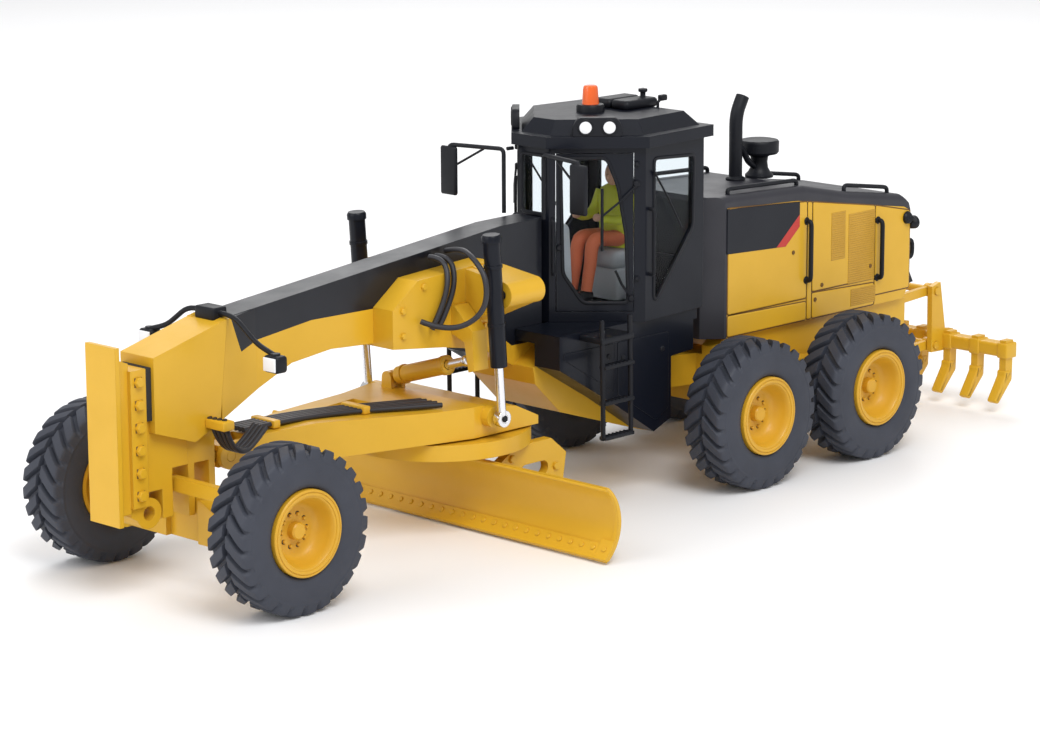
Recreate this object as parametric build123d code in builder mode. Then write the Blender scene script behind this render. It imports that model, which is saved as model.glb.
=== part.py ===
from build123d import *
import math
import os

# Motor grader scale model, 1:50, in millimetres.
# X points forward, Y to the machine's left, Z up. The origin lies on the floor,
# under the middle of the whole model. Sections are drawn in lengths forward of
# the tandem's pivot, which stands at TANDEM_X.

os.makedirs("parts", exist_ok=True)

# Overall layout
TANDEM_X = -40.5          # tandem pivot, from the origin
WHEELBASE = 131.0         # tandem pivot to front axle
TANDEM_SPREAD = 32.8      # between the two wheels of one tandem
TRACK = 48.0              # between the middles of left and right tyres
PIN_FIT = 0.05            # radial clearance of every turning pin
FACE_GAP = 0.3            # between faces that slide past each other

# Tyres and rims
TYRE_R = 14.0             # over the lugs
TREAD_R = 13.0            # between the lugs
TYRE_HALF = 4.8           # half the tyre's width
RIM_R = 7.3
RIM_FACE = 5.0            # rim's outer edge, from the tyre's middle
RIM_BACK = 4.0            # rim's inner edge, from the tyre's middle
LUG_COUNT = 16            # on each side of the tread
LUG_WIDTH = 2.0
LUG_REACH = 4.2           # lug's outer end, from the tyre's middle
LUG_SLANT = 1.5           # how far each end of a lug is turned along the tread
LUG_TOP = math.sqrt(TYRE_R ** 2 - (LUG_WIDTH / 2 + LUG_SLANT) ** 2)
SPINDLE_R = 1.2
DISC_HALF = 1.0           # half the thickness of the wheel's disc

# Tandem cases
CASE_IN = 13.4            # inner face, from the centre line
CASE_OUT = 18.2
CASE_R = 4.6              # round ends
TRUNNION_R = 2.0

# Rear frame
RAIL_Y = 10.0
RAIL_W = 3.6
RAIL_LOW = 17.0
RAIL_TOP = 25.2
FRAME_REAR = -45.0
RAIL_FRONT = 12.0

# Articulation
HITCH_X = 20.0
HITCH_R = 1.8
TONGUE_LOW = 16.0
TONGUE_TOP = 22.0
TONGUE_R = 4.6
EAR_T = 2.4

# Engine hood
HOOD_HALF = 13.2
HOOD_FRONT = 14.7
HOOD_CORNER = 3.4         # bevel of the front corners, in plan
HOOD_LOW = 25.5
HOOD_REAR = -44.5
COVER_LEN = 4.0           # length of the black front frame
CAP_ROUND = 1.3           # round of the black cap's long edges
STACK_LOW = 52.0          # foot of the stack
PRECLEANER_LOW = 51.8

# Cab, half outline in plan
CAB_FRONT = (49.0, 3.8)
CAB_WIDE = (36.5, 16.0)
CAB_REAR = (19.0, 14.5)
CAB_LOW = 33.0
CAB_FLOOR = 34.2
CAB_TOP = 65.0
CAB_WALL = 1.0
GLASS_T = 0.4
BRIM_T = 2.1
BRIM_OVER = 1.3
SEAM = 0.12               # between a door and its frame
DECK_LOW = 31.0
BOX_OUT = 14.4            # outer face of the boxes under the cab
STEP_Y = 19.6
STEP_BACK = 44.2
STEP_FRONT = 51.5

# Gooseneck and head
NECK_HALF = 3.1
HEAD_HALF = 4.2
BASE_HALF = 8.0           # frame under the cab
PLATE_X = WHEELBASE + 17.7  # back of the front plate
PLATE_T = 0.9
PLATE_HALF = 3.8
PLATE_LOW = 13.8
PLATE_TOP = 43.7
STRIP_HALF = 3.6
STRIP_X = WHEELBASE + 12.2  # back of the bolted strip behind the plate
EYE_X = WHEELBASE + 11.4
EYE_Z = 14.8
EYE_R = 1.2               # tow eye's hole
EYE_ROUND = 2.6
EYE_HALF = 2.6
EYE_TOP = EYE_Z + EYE_ROUND + 1.0  # foot of the head's column over the tow eye
STRIP_LOW = EYE_Z + EYE_R + 0.4   # foot of the bolted strip, clear of the tow eye's hole

# Front axle
AXLE_HALF = 2.4           # half the beam's thickness, front to back
AXLE_PIN_Z = 15.0         # pin that the axle rocks on
AXLE_PIN_R = 1.0
EAR_BACK = WHEELBASE - 1.6
EAR_FRONT = WHEELBASE + 1.6
EAR_W = 1.3
EAR_HALF = 2.6
LEAN_Y = 13.6
LEAN_Z = 9.6
LEAN_PIN_R = 0.8
LEAN_BAR_Z = 18.6
LEAN_BAR_X = WHEELBASE + 4.1  # back of the lean bar
LEAN_BAR_T = 1.6
BRACKET_IN = LEAN_Y + 1.6 + 0.2   # inner face of a lean bracket's web, clear of the axle's round end
BRACKET_OUT = BRACKET_IN + 0.7
FORK_IN = 2.7       # inner and outer faces of the lean bracket's arms, before and behind the axle
FORK_HALF = 3.5
KINGPIN_Y = 20.3
KINGPIN_R = 0.9

# Drawbar, circle and blade
BALL_X = WHEELBASE - 6.0  # drawbar's front pivot
BALL_Z = 21.5
SWING_PIN_R = 0.5
CHEEK_PIN_R = 0.9
PIVOT_HALF = 2.0
CIRCLE_X = 73.5
CIRCLE_R = 16.5
CIRCLE_LOW = 14.7
CIRCLE_TOP = 17.6
DRAWBAR_LOW = 18.0
BLADE_HALF = 42.6
BLADE_LOW = 0.6
BLADE_TOP = 13.6
BLADE_X = 75.4            # the cutting edge
BLADE_R = 8.3             # the moldboard's curve
BLADE_T = 0.7
HUB_R = 9.0               # drawbar's hub inside the circle
ARM_Y = 12.5              # blade arms
ARM_FRONT = 71.2
RAIL_BACK = 70.0          # back of the moldboard's rails
RAIL_ZS = (4.4, 10.2)
RAIL_HALF = 27.0

# Lift cylinders
LIFT_X = 76.2
LIFT_Y = 17.0
LIFT_EYE_X = 74.6
LIFT_EYE_Z = 21.6
TRUNNION_Z = 43.5
LIFT_TOP_Z = 54.5
LIFT_BARREL_END_Z = 31.0
BARREL_R = 1.5
ROD_R = 0.8
YOKE_HALF = 8.0
YOKE_ARM_X = 66.0
TRUNNION_BOSS_R = 2.3
TRUNNION_PIN_R = 0.8

# Centre shift cylinder: its plane, and its ends as left and up
SHIFT_X = 76.0
SHIFT_FOOT = (-9.0, 25.4)
SHIFT_EYE = (9.6, 31.0)
SHIFT_PIN_R = 0.6
SHIFT_BARREL_R = 1.6
SHIFT_BALL_R = 1.0
EYE_DRIFT = 1.0           # room at a cylinder's open end for what its arc leaves over

# Hoses
HOSE_R = 0.45
HOSE_PITCH = 1.0
HOSE_BEND = 1.2

# Ripper
LINK_FRONT_X = -47.0
LINK_REAR_X = -62.6
LINK_LOW_Z = 11.0
LINK_TOP_Z = 22.3
LINK_RISE = 0.9
RIPPER_HALF = 22.3
SHANK_PITCH = 7.1


def side(y=0.0):
    """A plane along the machine: x forward of the tandem, y up; it extrudes to the right."""
    return Plane(origin=(TANDEM_X, y, 0), x_dir=(1, 0, 0), z_dir=(0, -1, 0))


def level(z):
    """A horizontal plane at height z, its x forward of the tandem."""
    return Plane(origin=(TANDEM_X, 0, z), x_dir=(1, 0, 0), z_dir=(0, 0, 1))


def across(x):
    """A plane across the machine: x to the left, y up; it extrudes forward."""
    return Plane(origin=(TANDEM_X + x, 0, 0), x_dir=(0, 1, 0), z_dir=(1, 0, 0))


def save(part, label):
    part.label = label
    export_step(part, f"parts/{label}.step")


# Wheels: a left rim and a left tyre about the Y axis, mirrored for the right side

with BuildPart() as rim:
    with BuildSketch(Plane.XY):
        with BuildLine():
            Polyline(
                (0, 3.4), (1.8, 3.4), (2.4, 2.9), (2.4, DISC_HALF), (4.6, DISC_HALF), (5.7, 2.0),
                (6.2, 4.2), (6.6, RIM_FACE), (RIM_R, RIM_FACE - 0.2), (RIM_R, -RIM_BACK),
                (6.5, -RIM_BACK), (5.9, -1.6), (5.0, -DISC_HALF), (SPINDLE_R + PIN_FIT, -DISC_HALF),
                (SPINDLE_R + PIN_FIT, 2.2), (0, 2.2), close=True,
            )
        make_face()
    revolve(axis=Axis.Y)
    with BuildSketch(Plane(origin=(0, DISC_HALF, 0), x_dir=(1, 0, 0), z_dir=(0, 1, 0))):
        with PolarLocations(3.5, 9):
            RegularPolygon(0.42, 6)
    extrude(amount=0.45)

LUG_ROOT = TREAD_R - 0.25
TYRE_FLATS = [
    # apothem of the ring, distance from the tyre's middle
    (TREAD_R, 0.0), (TREAD_R, LUG_REACH), (11.8, TYRE_HALF - 0.1), (9.4, TYRE_HALF), (RIM_R + 0.4, 4.2),
]
with BuildPart() as tyre:
    for row in (1, -1):
        corner = (0.25 * row + 0.5) * 360 / LUG_COUNT
        for inner, outer in zip(TYRE_FLATS, TYRE_FLATS[1:]):
            for apothem, y in (inner, outer):
                with BuildSketch(Plane(origin=(0, row * y, 0), x_dir=(1, 0, 0), z_dir=(0, -1, 0))):
                    RegularPolygon(apothem, LUG_COUNT, major_radius=False, rotation=corner)
            loft(ruled=True)
        turns = [math.radians((i + 0.25 * row) * 360 / LUG_COUNT) for i in range(LUG_COUNT)]
        outs = [Vector(math.cos(turn), 0, math.sin(turn)) for turn in turns]
        flats = [Plane(origin=out * LUG_ROOT, x_dir=(0, 1, 0), z_dir=out) for out in outs]
        with BuildSketch(*flats):
            Polygon(
                (row * 0.2, LUG_SLANT - LUG_WIDTH / 2), (row * LUG_REACH, -LUG_SLANT - LUG_WIDTH / 2),
                (row * LUG_REACH, -LUG_SLANT + LUG_WIDTH / 2), (row * 0.2, LUG_SLANT + LUG_WIDTH / 2),
                align=None,
            )
        extrude(amount=LUG_TOP - LUG_ROOT)
    with BuildSketch(Plane.XZ):
        RegularPolygon(RIM_R + PIN_FIT, LUG_COUNT, major_radius=False)
    extrude(amount=TYRE_HALF, both=True, mode=Mode.SUBTRACT)

WHEELS = [
    # name, forward of the tandem, side
    ("front_left", WHEELBASE, 1),
    ("front_right", WHEELBASE, -1),
    ("mid_left", TANDEM_SPREAD / 2, 1),
    ("mid_right", TANDEM_SPREAD / 2, -1),
    ("rear_left", -TANDEM_SPREAD / 2, 1),
    ("rear_right", -TANDEM_SPREAD / 2, -1),
]
handed = {
    1: (rim.part, tyre.part),
    -1: (mirror(rim.part, about=Plane.XZ), mirror(tyre.part, about=Plane.XZ)),
}
for name, x, s in WHEELS:
    place = Pos(TANDEM_X + x, s * TRACK / 2, TYRE_R)
    save(place * handed[s][0], f"rim_{name}")
    save(place * handed[s][1], f"tyre_{name}")

# Tandem cases
for name, s in (("left", 1), ("right", -1)):
    with BuildPart() as tandem:
        with BuildSketch(side(s * CASE_IN)):
            with BuildLine():
                Polyline(
                    (-TANDEM_SPREAD / 2, TYRE_R - CASE_R), (TANDEM_SPREAD / 2, TYRE_R - CASE_R),
                    (TANDEM_SPREAD / 2, TYRE_R + CASE_R), (4.5, TYRE_R + 6.0), (-4.5, TYRE_R + 6.0),
                    (-TANDEM_SPREAD / 2, TYRE_R + CASE_R), close=True,
                )
            make_face()
            with Locations((-TANDEM_SPREAD / 2, TYRE_R), (TANDEM_SPREAD / 2, TYRE_R)):
                Circle(CASE_R)
        extrude(amount=-s * (CASE_OUT - CASE_IN))
        with BuildSketch(side(s * CASE_OUT)):
            with Locations((-TANDEM_SPREAD / 2, TYRE_R), (TANDEM_SPREAD / 2, TYRE_R)):
                Circle(SPINDLE_R)
        extrude(amount=-s * (TRACK / 2 + 2.0 - CASE_OUT))
        with BuildSketch(side(s * CASE_IN)):
            with Locations((0, TYRE_R)):
                Circle(TRUNNION_R + PIN_FIT)
        extrude(amount=-s * (CASE_OUT - CASE_IN), mode=Mode.SUBTRACT)
    save(tandem.part, f"tandem_{name}")

# Rear frame: two rails, cross members, tandem axle, hitch tongue and ripper brackets
with BuildPart() as rear_frame:
    for s in (1, -1):
        with BuildSketch(side(s * RAIL_Y)):
            Polygon(
                (FRAME_REAR, RAIL_LOW), (FRAME_REAR + 2.0, RAIL_LOW - 2.5), (-14.0, RAIL_LOW - 2.5),
                (RAIL_FRONT - 6.0, RAIL_LOW), (RAIL_FRONT, RAIL_LOW), (RAIL_FRONT, RAIL_TOP - 1.5),
                (RAIL_FRONT - 2.0, RAIL_TOP), (FRAME_REAR, RAIL_TOP), align=None,
            )
        extrude(amount=RAIL_W / 2, both=True)
    for x0, x1, z0, z1 in (
        (FRAME_REAR, FRAME_REAR + 3.0, 9.5, RAIL_TOP),
        (-30.0, -25.0, RAIL_LOW, RAIL_TOP - 1.0),
        (RAIL_FRONT - 4.5, RAIL_FRONT, TONGUE_LOW, TONGUE_TOP),
    ):
        with BuildSketch(side()):
            Polygon((x0, z0), (x1, z0), (x1, z1), (x0, z1), align=None)
        extrude(amount=RAIL_Y + RAIL_W / 2, both=True)
    with BuildSketch(side()):
        Polygon((-5, 10.5), (5, 10.5), (5, 19), (-5, 19), align=None)
    extrude(amount=CASE_IN - FACE_GAP, both=True)
    with BuildSketch(side()):
        with Locations((0, TYRE_R)):
            Circle(TRUNNION_R)
    extrude(amount=CASE_OUT - 0.6, both=True)
    with BuildSketch(level(TONGUE_LOW)):
        Polygon(
            (RAIL_FRONT - 1.0, -7.0), (HITCH_X, -TONGUE_R), (HITCH_X, TONGUE_R), (RAIL_FRONT - 1.0, 7.0),
            align=None,
        )
        with Locations((HITCH_X, 0)):
            Circle(TONGUE_R)
            Circle(HITCH_R + PIN_FIT, mode=Mode.SUBTRACT)
    extrude(amount=TONGUE_TOP - TONGUE_LOW)
    for s in (1, -1):
        with BuildSketch(side(s * 5.8)):
            Polygon(
                (FRAME_REAR + 0.5, 8.8), (LINK_FRONT_X, 8.8), (LINK_FRONT_X - 1.6, 10.0),
                (LINK_FRONT_X - 1.6, 24.0), (FRAME_REAR + 0.5, 24.8), align=None,
            )
            for z in (LINK_LOW_Z, LINK_TOP_Z):
                with Locations((LINK_FRONT_X, z)):
                    Circle(0.8 + PIN_FIT, mode=Mode.SUBTRACT)
        extrude(amount=0.7, both=True)
save(rear_frame.part, "rear_frame")

# Engine hood: sides, sloping rear top and grilles
hood_top = [(HOOD_FRONT - COVER_LEN, 50.3), (-9.7, 49.2), (-42.4, 44.0), (HOOD_REAR, 43.0)]
GRILLES = [
    # middle forward and up, width, height, slots
    (-21.8, 40.9, 4.2, 9.4, 8),
    (-29.0, 37.8, 8.1, 13.9, 12),
    (-29.7, 27.5, 7.6, 4.3, 4),
]
HANDLES = [
    # forward, low end, high end
    (-12.2, 33.5, 45.0),
    (-34.0, 31.0, 42.4),
]
BAR_R = 0.45

with BuildPart() as hood:
    with BuildSketch(side()):
        with BuildLine():
            Polyline(
                (HOOD_FRONT - COVER_LEN, HOOD_LOW), *hood_top, (HOOD_REAR, HOOD_LOW + 3.0),
                (HOOD_REAR + 2.0, HOOD_LOW), close=True,
            )
        make_face()
    extrude(amount=HOOD_HALF, both=True)
    for s in (1, -1):
        for x, z, w, h, slots in GRILLES:
            with BuildSketch(side(s * HOOD_HALF)):
                with Locations((x, z)):
                    with GridLocations(0, h / slots, 1, slots):
                        Rectangle(w, 0.5 * h / slots)
            extrude(amount=s * 0.4, mode=Mode.SUBTRACT)
save(hood.part, "engine_hood")

# Black front frame and cap of the hood: the cap follows the hood's fall and its long edges are round
cap_top = [
    (-41.6, 46.6), (-39.7, 46.9), (-25.3, 49.0), (-12.0, 51.8), (9.0, 52.5), (HOOD_FRONT - 0.8, 52.4),
]
with BuildPart() as cover:
    with BuildSketch(side()):
        Polygon(
            (HOOD_FRONT - COVER_LEN, HOOD_LOW), *hood_top, (HOOD_REAR + 0.6, 44.6), *cap_top,
            (HOOD_FRONT, 51.4), (HOOD_FRONT, HOOD_LOW), align=None,
        )
    extrude(amount=HOOD_HALF, both=True)
    heights = [z for x, z in cap_top]
    side_edges = [e for e in cover.edges() if abs(e.center().Y) > HOOD_HALF - 0.1]
    fillet(
        [e for e in side_edges if all(min(abs(v.Z - z) for z in heights) < 0.01 for v in e.vertices())],
        radius=CAP_ROUND,
    )
    with BuildSketch(level(HOOD_LOW)):
        for s in (1, -1):
            Polygon(
                (HOOD_FRONT + 0.1, s * (HOOD_HALF - HOOD_CORNER)), (HOOD_FRONT - HOOD_CORNER, s * (HOOD_HALF + 0.1)),
                (HOOD_FRONT + 0.1, s * (HOOD_HALF + 0.1)), align=None,
            )
    extrude(amount=30.0, mode=Mode.SUBTRACT)
save(cover.part, "hood_cover")

# Rails on the cap, handles on the doors, a grab loop and lamps on the rear edge
with BuildPart() as hood_fittings:
    for s in (1, -1):
        for y, stops in (
            (11.3, [(8.6, 52.53), (8.6, 53.5), (-11.4, 52.8), (-11.4, 51.86)]),
            (11.3, [(-25.8, 49.02), (-25.8, 50.1), (-39.2, 48.1), (-39.2, 47.06)]),
        ):
            with BuildLine(side(s * y)):
                FilletPolyline(*stops, radius=0.8)
            with BuildSketch(Plane(origin=(TANDEM_X + stops[0][0], s * y, stops[0][1]), z_dir=(0, 0, 1))):
                RegularPolygon(BAR_R, 6)
            sweep()
        for x, low, high in HANDLES:
            with BuildLine(Plane(origin=(TANDEM_X + x, 0, 0), x_dir=(0, s, 0), z_dir=(s, 0, 0))):
                FilletPolyline(
                    (HOOD_HALF, low), (HOOD_HALF + 1.2, low), (HOOD_HALF + 1.2, high), (HOOD_HALF, high),
                    radius=0.6,
                )
            with BuildSketch(Plane(origin=(TANDEM_X + x, s * HOOD_HALF, low), z_dir=(0, s, 0))):
                RegularPolygon(BAR_R, 6)
            sweep()
        with BuildSketch(across(HOOD_REAR)):
            with Locations((s * 11.9, 40.4), (s * 11.9, 33.6)):
                Circle(1.3)
            with Locations((s * 11.9, 29.6)):
                RegularPolygon(1.4, 3, rotation=90)
        extrude(amount=-1.2)
save(hood_fittings.part, "hood_fittings")

# Exhaust stack with a mitred tip
with BuildPart() as stack:
    with BuildSketch(level(STACK_LOW)):
        with Locations((-7.4, -0.6)):
            Circle(1.3)
    extrude(amount=64.2 - STACK_LOW)
    with BuildSketch(Plane(origin=(TANDEM_X - 7.4, -0.6, 64.2), x_dir=(0, 1, 0), z_dir=(-0.5, 0, 0.87))):
        Circle(1.3)
    extrude(amount=3.6)
save(stack.part, "exhaust_stack")

# Air precleaner: a disc on a neck
with BuildPart() as precleaner:
    with BuildSketch(level(PRECLEANER_LOW)):
        with Locations((-14.4, -0.6)):
            Circle(2.2)
    extrude(amount=56.5 - PRECLEANER_LOW)
    with BuildSketch(level(56.5)):
        with Locations((-14.4, -0.6)):
            Circle(3.8)
    extrude(amount=2.7)
save(precleaner.part, "air_precleaner")

# Ripper links, carriage and shanks
for label, z in (("ripper_link_lower", LINK_LOW_Z), ("ripper_link_upper", LINK_TOP_Z)):
    with BuildPart() as link:
        for s in (1, -1):
            with BuildSketch(side(s * 4.2)):
                with Locations((LINK_FRONT_X, z), (LINK_REAR_X, z + LINK_RISE)):
                    Circle(1.4)
                Polygon(
                    (LINK_FRONT_X, z - 0.9), (LINK_REAR_X, z + LINK_RISE - 0.9),
                    (LINK_REAR_X, z + LINK_RISE + 0.9), (LINK_FRONT_X, z + 0.9), align=None,
                )
            extrude(amount=0.6, both=True)
        for x, dz in ((LINK_FRONT_X, 0), (LINK_REAR_X, LINK_RISE)):
            with BuildSketch(side()):
                with Locations((x, z + dz)):
                    Circle(0.8)
            extrude(amount=6.6, both=True)
    save(link.part, label)

with BuildPart() as carriage:
    for s in (1, -1):
        with BuildSketch(side(s * 5.7)):
            Polygon(
                (LINK_REAR_X + 1.4, LINK_LOW_Z - 0.4), (LINK_REAR_X + 1.6, LINK_TOP_Z + 2.0),
                (LINK_REAR_X - 1.2, LINK_TOP_Z + 2.6), (LINK_REAR_X - 3.0, 15.0), (-68.3, 14.6),
                (-68.3, 10.4), align=None,
            )
            for z in (LINK_LOW_Z, LINK_TOP_Z):
                with Locations((LINK_REAR_X, z + LINK_RISE)):
                    Circle(0.8 + PIN_FIT, mode=Mode.SUBTRACT)
        extrude(amount=0.6, both=True)
    with BuildSketch(side()):
        with Locations((-66.6, 12.5)):
            RectangleRounded(3.2, 2.8, 0.6)
    extrude(amount=RIPPER_HALF, both=True)
    for i in range(-3, 4):
        y = i * SHANK_PITCH
        with BuildSketch(side(y)):
            Polygon(
                (-67.6, 14.6), (-65.2, 14.6), (-65.2, 7.6), (-61.9, 2.6), (-62.9, 2.2), (-67.4, 6.6),
                align=None,
            )
        extrude(amount=0.8, both=True)
save(carriage.part, "ripper_carriage")

# Front frame: head, gooseneck and the deep section under the cab with its hitch ears
HEAD_NOSE = (WHEELBASE + 11.0, 28.4)
HEAD_FOOT = (WHEELBASE + 2.5, 25.5)
EAR_FACE = EAR_FRONT + EAR_W
HEAD_FALL = (HEAD_NOSE[1] - HEAD_FOOT[1]) / (HEAD_NOSE[0] - HEAD_FOOT[0])
NECK = [
    (WHEELBASE - 4.0, 45.0), (60.7, 52.2), (50.2, 52.4), (50.2, 33.0), (47.0, 30.6), (56.0, 25.5),
    (62.0, 28.4), (71.0, 34.4), (81.0, 35.0), (WHEELBASE - 29.0, 36.2), (WHEELBASE - 20.0, 35.2),
    (WHEELBASE - 2.5, 27.9),
]
with BuildPart() as front_frame:
    with BuildSketch(side()):
        Polygon(
            (WHEELBASE - 5.0, 45.2), (HEAD_NOSE[0], 41.0), HEAD_NOSE, HEAD_FOOT, (WHEELBASE - 3.0, 28.0),
            align=None,
        )
    extrude(amount=HEAD_HALF, both=True)
    with BuildSketch(side()):
        Polygon(*NECK, align=None)
    extrude(amount=NECK_HALF, both=True)
    with BuildSketch(side()):
        Polygon(
            (25.6, 30.6), (50.0, 30.6), (57.5, 26.5), (57.0, 23.4), (50.5, 17.2), (30.0, 10.6),
            (25.6, 9.4), align=None,
        )
    extrude(amount=BASE_HALF, both=True)
    for z0 in (TONGUE_TOP + FACE_GAP, TONGUE_LOW - FACE_GAP - EAR_T):
        with BuildSketch(level(z0)):
            Polygon((26.0, -7.0), (HITCH_X, -TONGUE_R), (HITCH_X, TONGUE_R), (26.0, 7.0), align=None)
            with Locations((HITCH_X, 0)):
                Circle(TONGUE_R)
        extrude(amount=EAR_T)
    with BuildSketch(level(TONGUE_LOW - FACE_GAP - EAR_T)):
        with Locations((HITCH_X, 0)):
            Circle(HITCH_R)
    extrude(amount=TONGUE_TOP - TONGUE_LOW + 2 * FACE_GAP + 2 * EAR_T)
    with BuildSketch(side()):
        Polygon(
            (EAR_BACK - EAR_W, 28.6), (EAR_FACE, 28.6), (EAR_FACE, 12.8),
            (EAR_BACK - EAR_W, 12.8), align=None,
        )
        Polygon((EAR_BACK, 21.6), (EAR_FRONT, 21.6), (EAR_FRONT, 12.8), (EAR_BACK, 12.8), align=None,
                mode=Mode.SUBTRACT)
    extrude(amount=EAR_HALF, both=True)
    with BuildSketch(across(EAR_BACK - EAR_W)):
        with Locations((0, AXLE_PIN_Z)):
            Circle(AXLE_PIN_R)
    extrude(amount=EAR_FRONT - EAR_BACK + 2 * EAR_W)
    with BuildSketch(level(BALL_Z - 0.7)):
        Polygon((BALL_X, -1.2), (EAR_BACK - 0.6, -1.2), (EAR_BACK - 0.6, 1.2), (BALL_X, 1.2), align=None)
        with Locations((BALL_X, 0)):
            Circle(1.2)
            Circle(SWING_PIN_R + PIN_FIT, mode=Mode.SUBTRACT)
    extrude(amount=1.4)
save(front_frame.part, "front_frame")

# Column under the head, in front of its ears, open to the rear for the lean bar
COLUMN_BACK = LEAN_BAR_X + LEAN_BAR_T + 0.6
COLUMN_OVER = LEAN_BAR_Z + 3.0
with BuildPart() as column:
    with BuildSketch(side()):
        Polygon(
            (EAR_FACE, HEAD_FOOT[1] + HEAD_FALL * (EAR_FACE - HEAD_FOOT[0])), HEAD_NOSE, (HEAD_NOSE[0], 38.6),
            (STRIP_X, 38.6), (STRIP_X, EYE_TOP), (EYE_X - EYE_ROUND - FACE_GAP, EYE_TOP),
            (EYE_X - EYE_ROUND - FACE_GAP, 13.4), (COLUMN_BACK, 13.4), (COLUMN_BACK, COLUMN_OVER),
            (EAR_FACE, COLUMN_OVER), align=None,
        )
    extrude(amount=EAR_HALF, both=True)
save(column.part, "head_column")

# Front plate with its side flanges and tow eye
with BuildPart() as plate:
    with BuildSketch(side()):
        Polygon(
            (PLATE_X, PLATE_LOW), (PLATE_X + PLATE_T, PLATE_LOW), (PLATE_X + PLATE_T, PLATE_TOP),
            (PLATE_X, PLATE_TOP), align=None,
        )
    extrude(amount=PLATE_HALF, both=True)
    with BuildSketch(side()):
        Polygon(
            (STRIP_X + 3.0, 40.6), (PLATE_X, 41.6), (PLATE_X, 15.4), (STRIP_X + 3.0, 15.4), align=None,
        )
    extrude(amount=STRIP_HALF - 0.8, both=True)
    with BuildSketch(side()):
        Polygon(
            (STRIP_X, 39.4), (STRIP_X + 3.2, 39.4), (STRIP_X + 3.2, STRIP_LOW), (STRIP_X, STRIP_LOW), align=None,
        )
    extrude(amount=STRIP_HALF, both=True)
    with BuildSketch(side()):
        with Locations((EYE_X, EYE_Z)):
            Circle(EYE_ROUND)
        Polygon(
            (EYE_X, EYE_Z - EYE_ROUND), (STRIP_X + 3.0, EYE_Z), (STRIP_X + 3.0, EYE_Z + EYE_ROUND),
            (EYE_X, EYE_Z + EYE_ROUND), align=None,
        )
        with Locations((EYE_X, EYE_Z)):
            Circle(EYE_R, mode=Mode.SUBTRACT)
    extrude(amount=EYE_HALF, both=True)
save(plate.part, "front_plate")

# Front axle: a beam that rocks on the pin between the head's ears
with BuildPart() as axle:
    with BuildSketch(across(WHEELBASE - AXLE_HALF)):
        Polygon(
            (-LEAN_Y, LEAN_Z - 1.5), (LEAN_Y, LEAN_Z - 1.5), (LEAN_Y, LEAN_Z + 1.5), (5.0, 15.6),
            (-5.0, 15.6), (-LEAN_Y, LEAN_Z + 1.5), align=None,
        )
        with Locations((LEAN_Y, LEAN_Z), (-LEAN_Y, LEAN_Z)):
            Circle(1.6)
            Circle(LEAN_PIN_R + PIN_FIT, mode=Mode.SUBTRACT)
    extrude(amount=2 * AXLE_HALF)
    with BuildSketch(across(WHEELBASE - AXLE_HALF)):
        Rectangle(2 * EAR_HALF + 3.0, 60.0)
    extrude(amount=AXLE_HALF + EAR_BACK + FACE_GAP - WHEELBASE, mode=Mode.SUBTRACT)
    with BuildSketch(across(EAR_FRONT - FACE_GAP)):
        Rectangle(2 * EAR_HALF + 3.0, 60.0)
    extrude(amount=AXLE_HALF + WHEELBASE - EAR_FRONT + FACE_GAP, mode=Mode.SUBTRACT)
    with BuildSketch(across(EAR_BACK + FACE_GAP)):
        with Locations((0, AXLE_PIN_Z)):
            Circle(2.2)
    extrude(amount=EAR_FRONT - EAR_BACK - 2 * FACE_GAP)
    with BuildSketch(across(EAR_BACK + FACE_GAP)):
        with Locations((0, AXLE_PIN_Z)):
            Circle(AXLE_PIN_R + PIN_FIT)
    extrude(amount=EAR_FRONT - EAR_BACK - 2 * FACE_GAP, mode=Mode.SUBTRACT)
save(axle.part, "front_axle")

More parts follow.
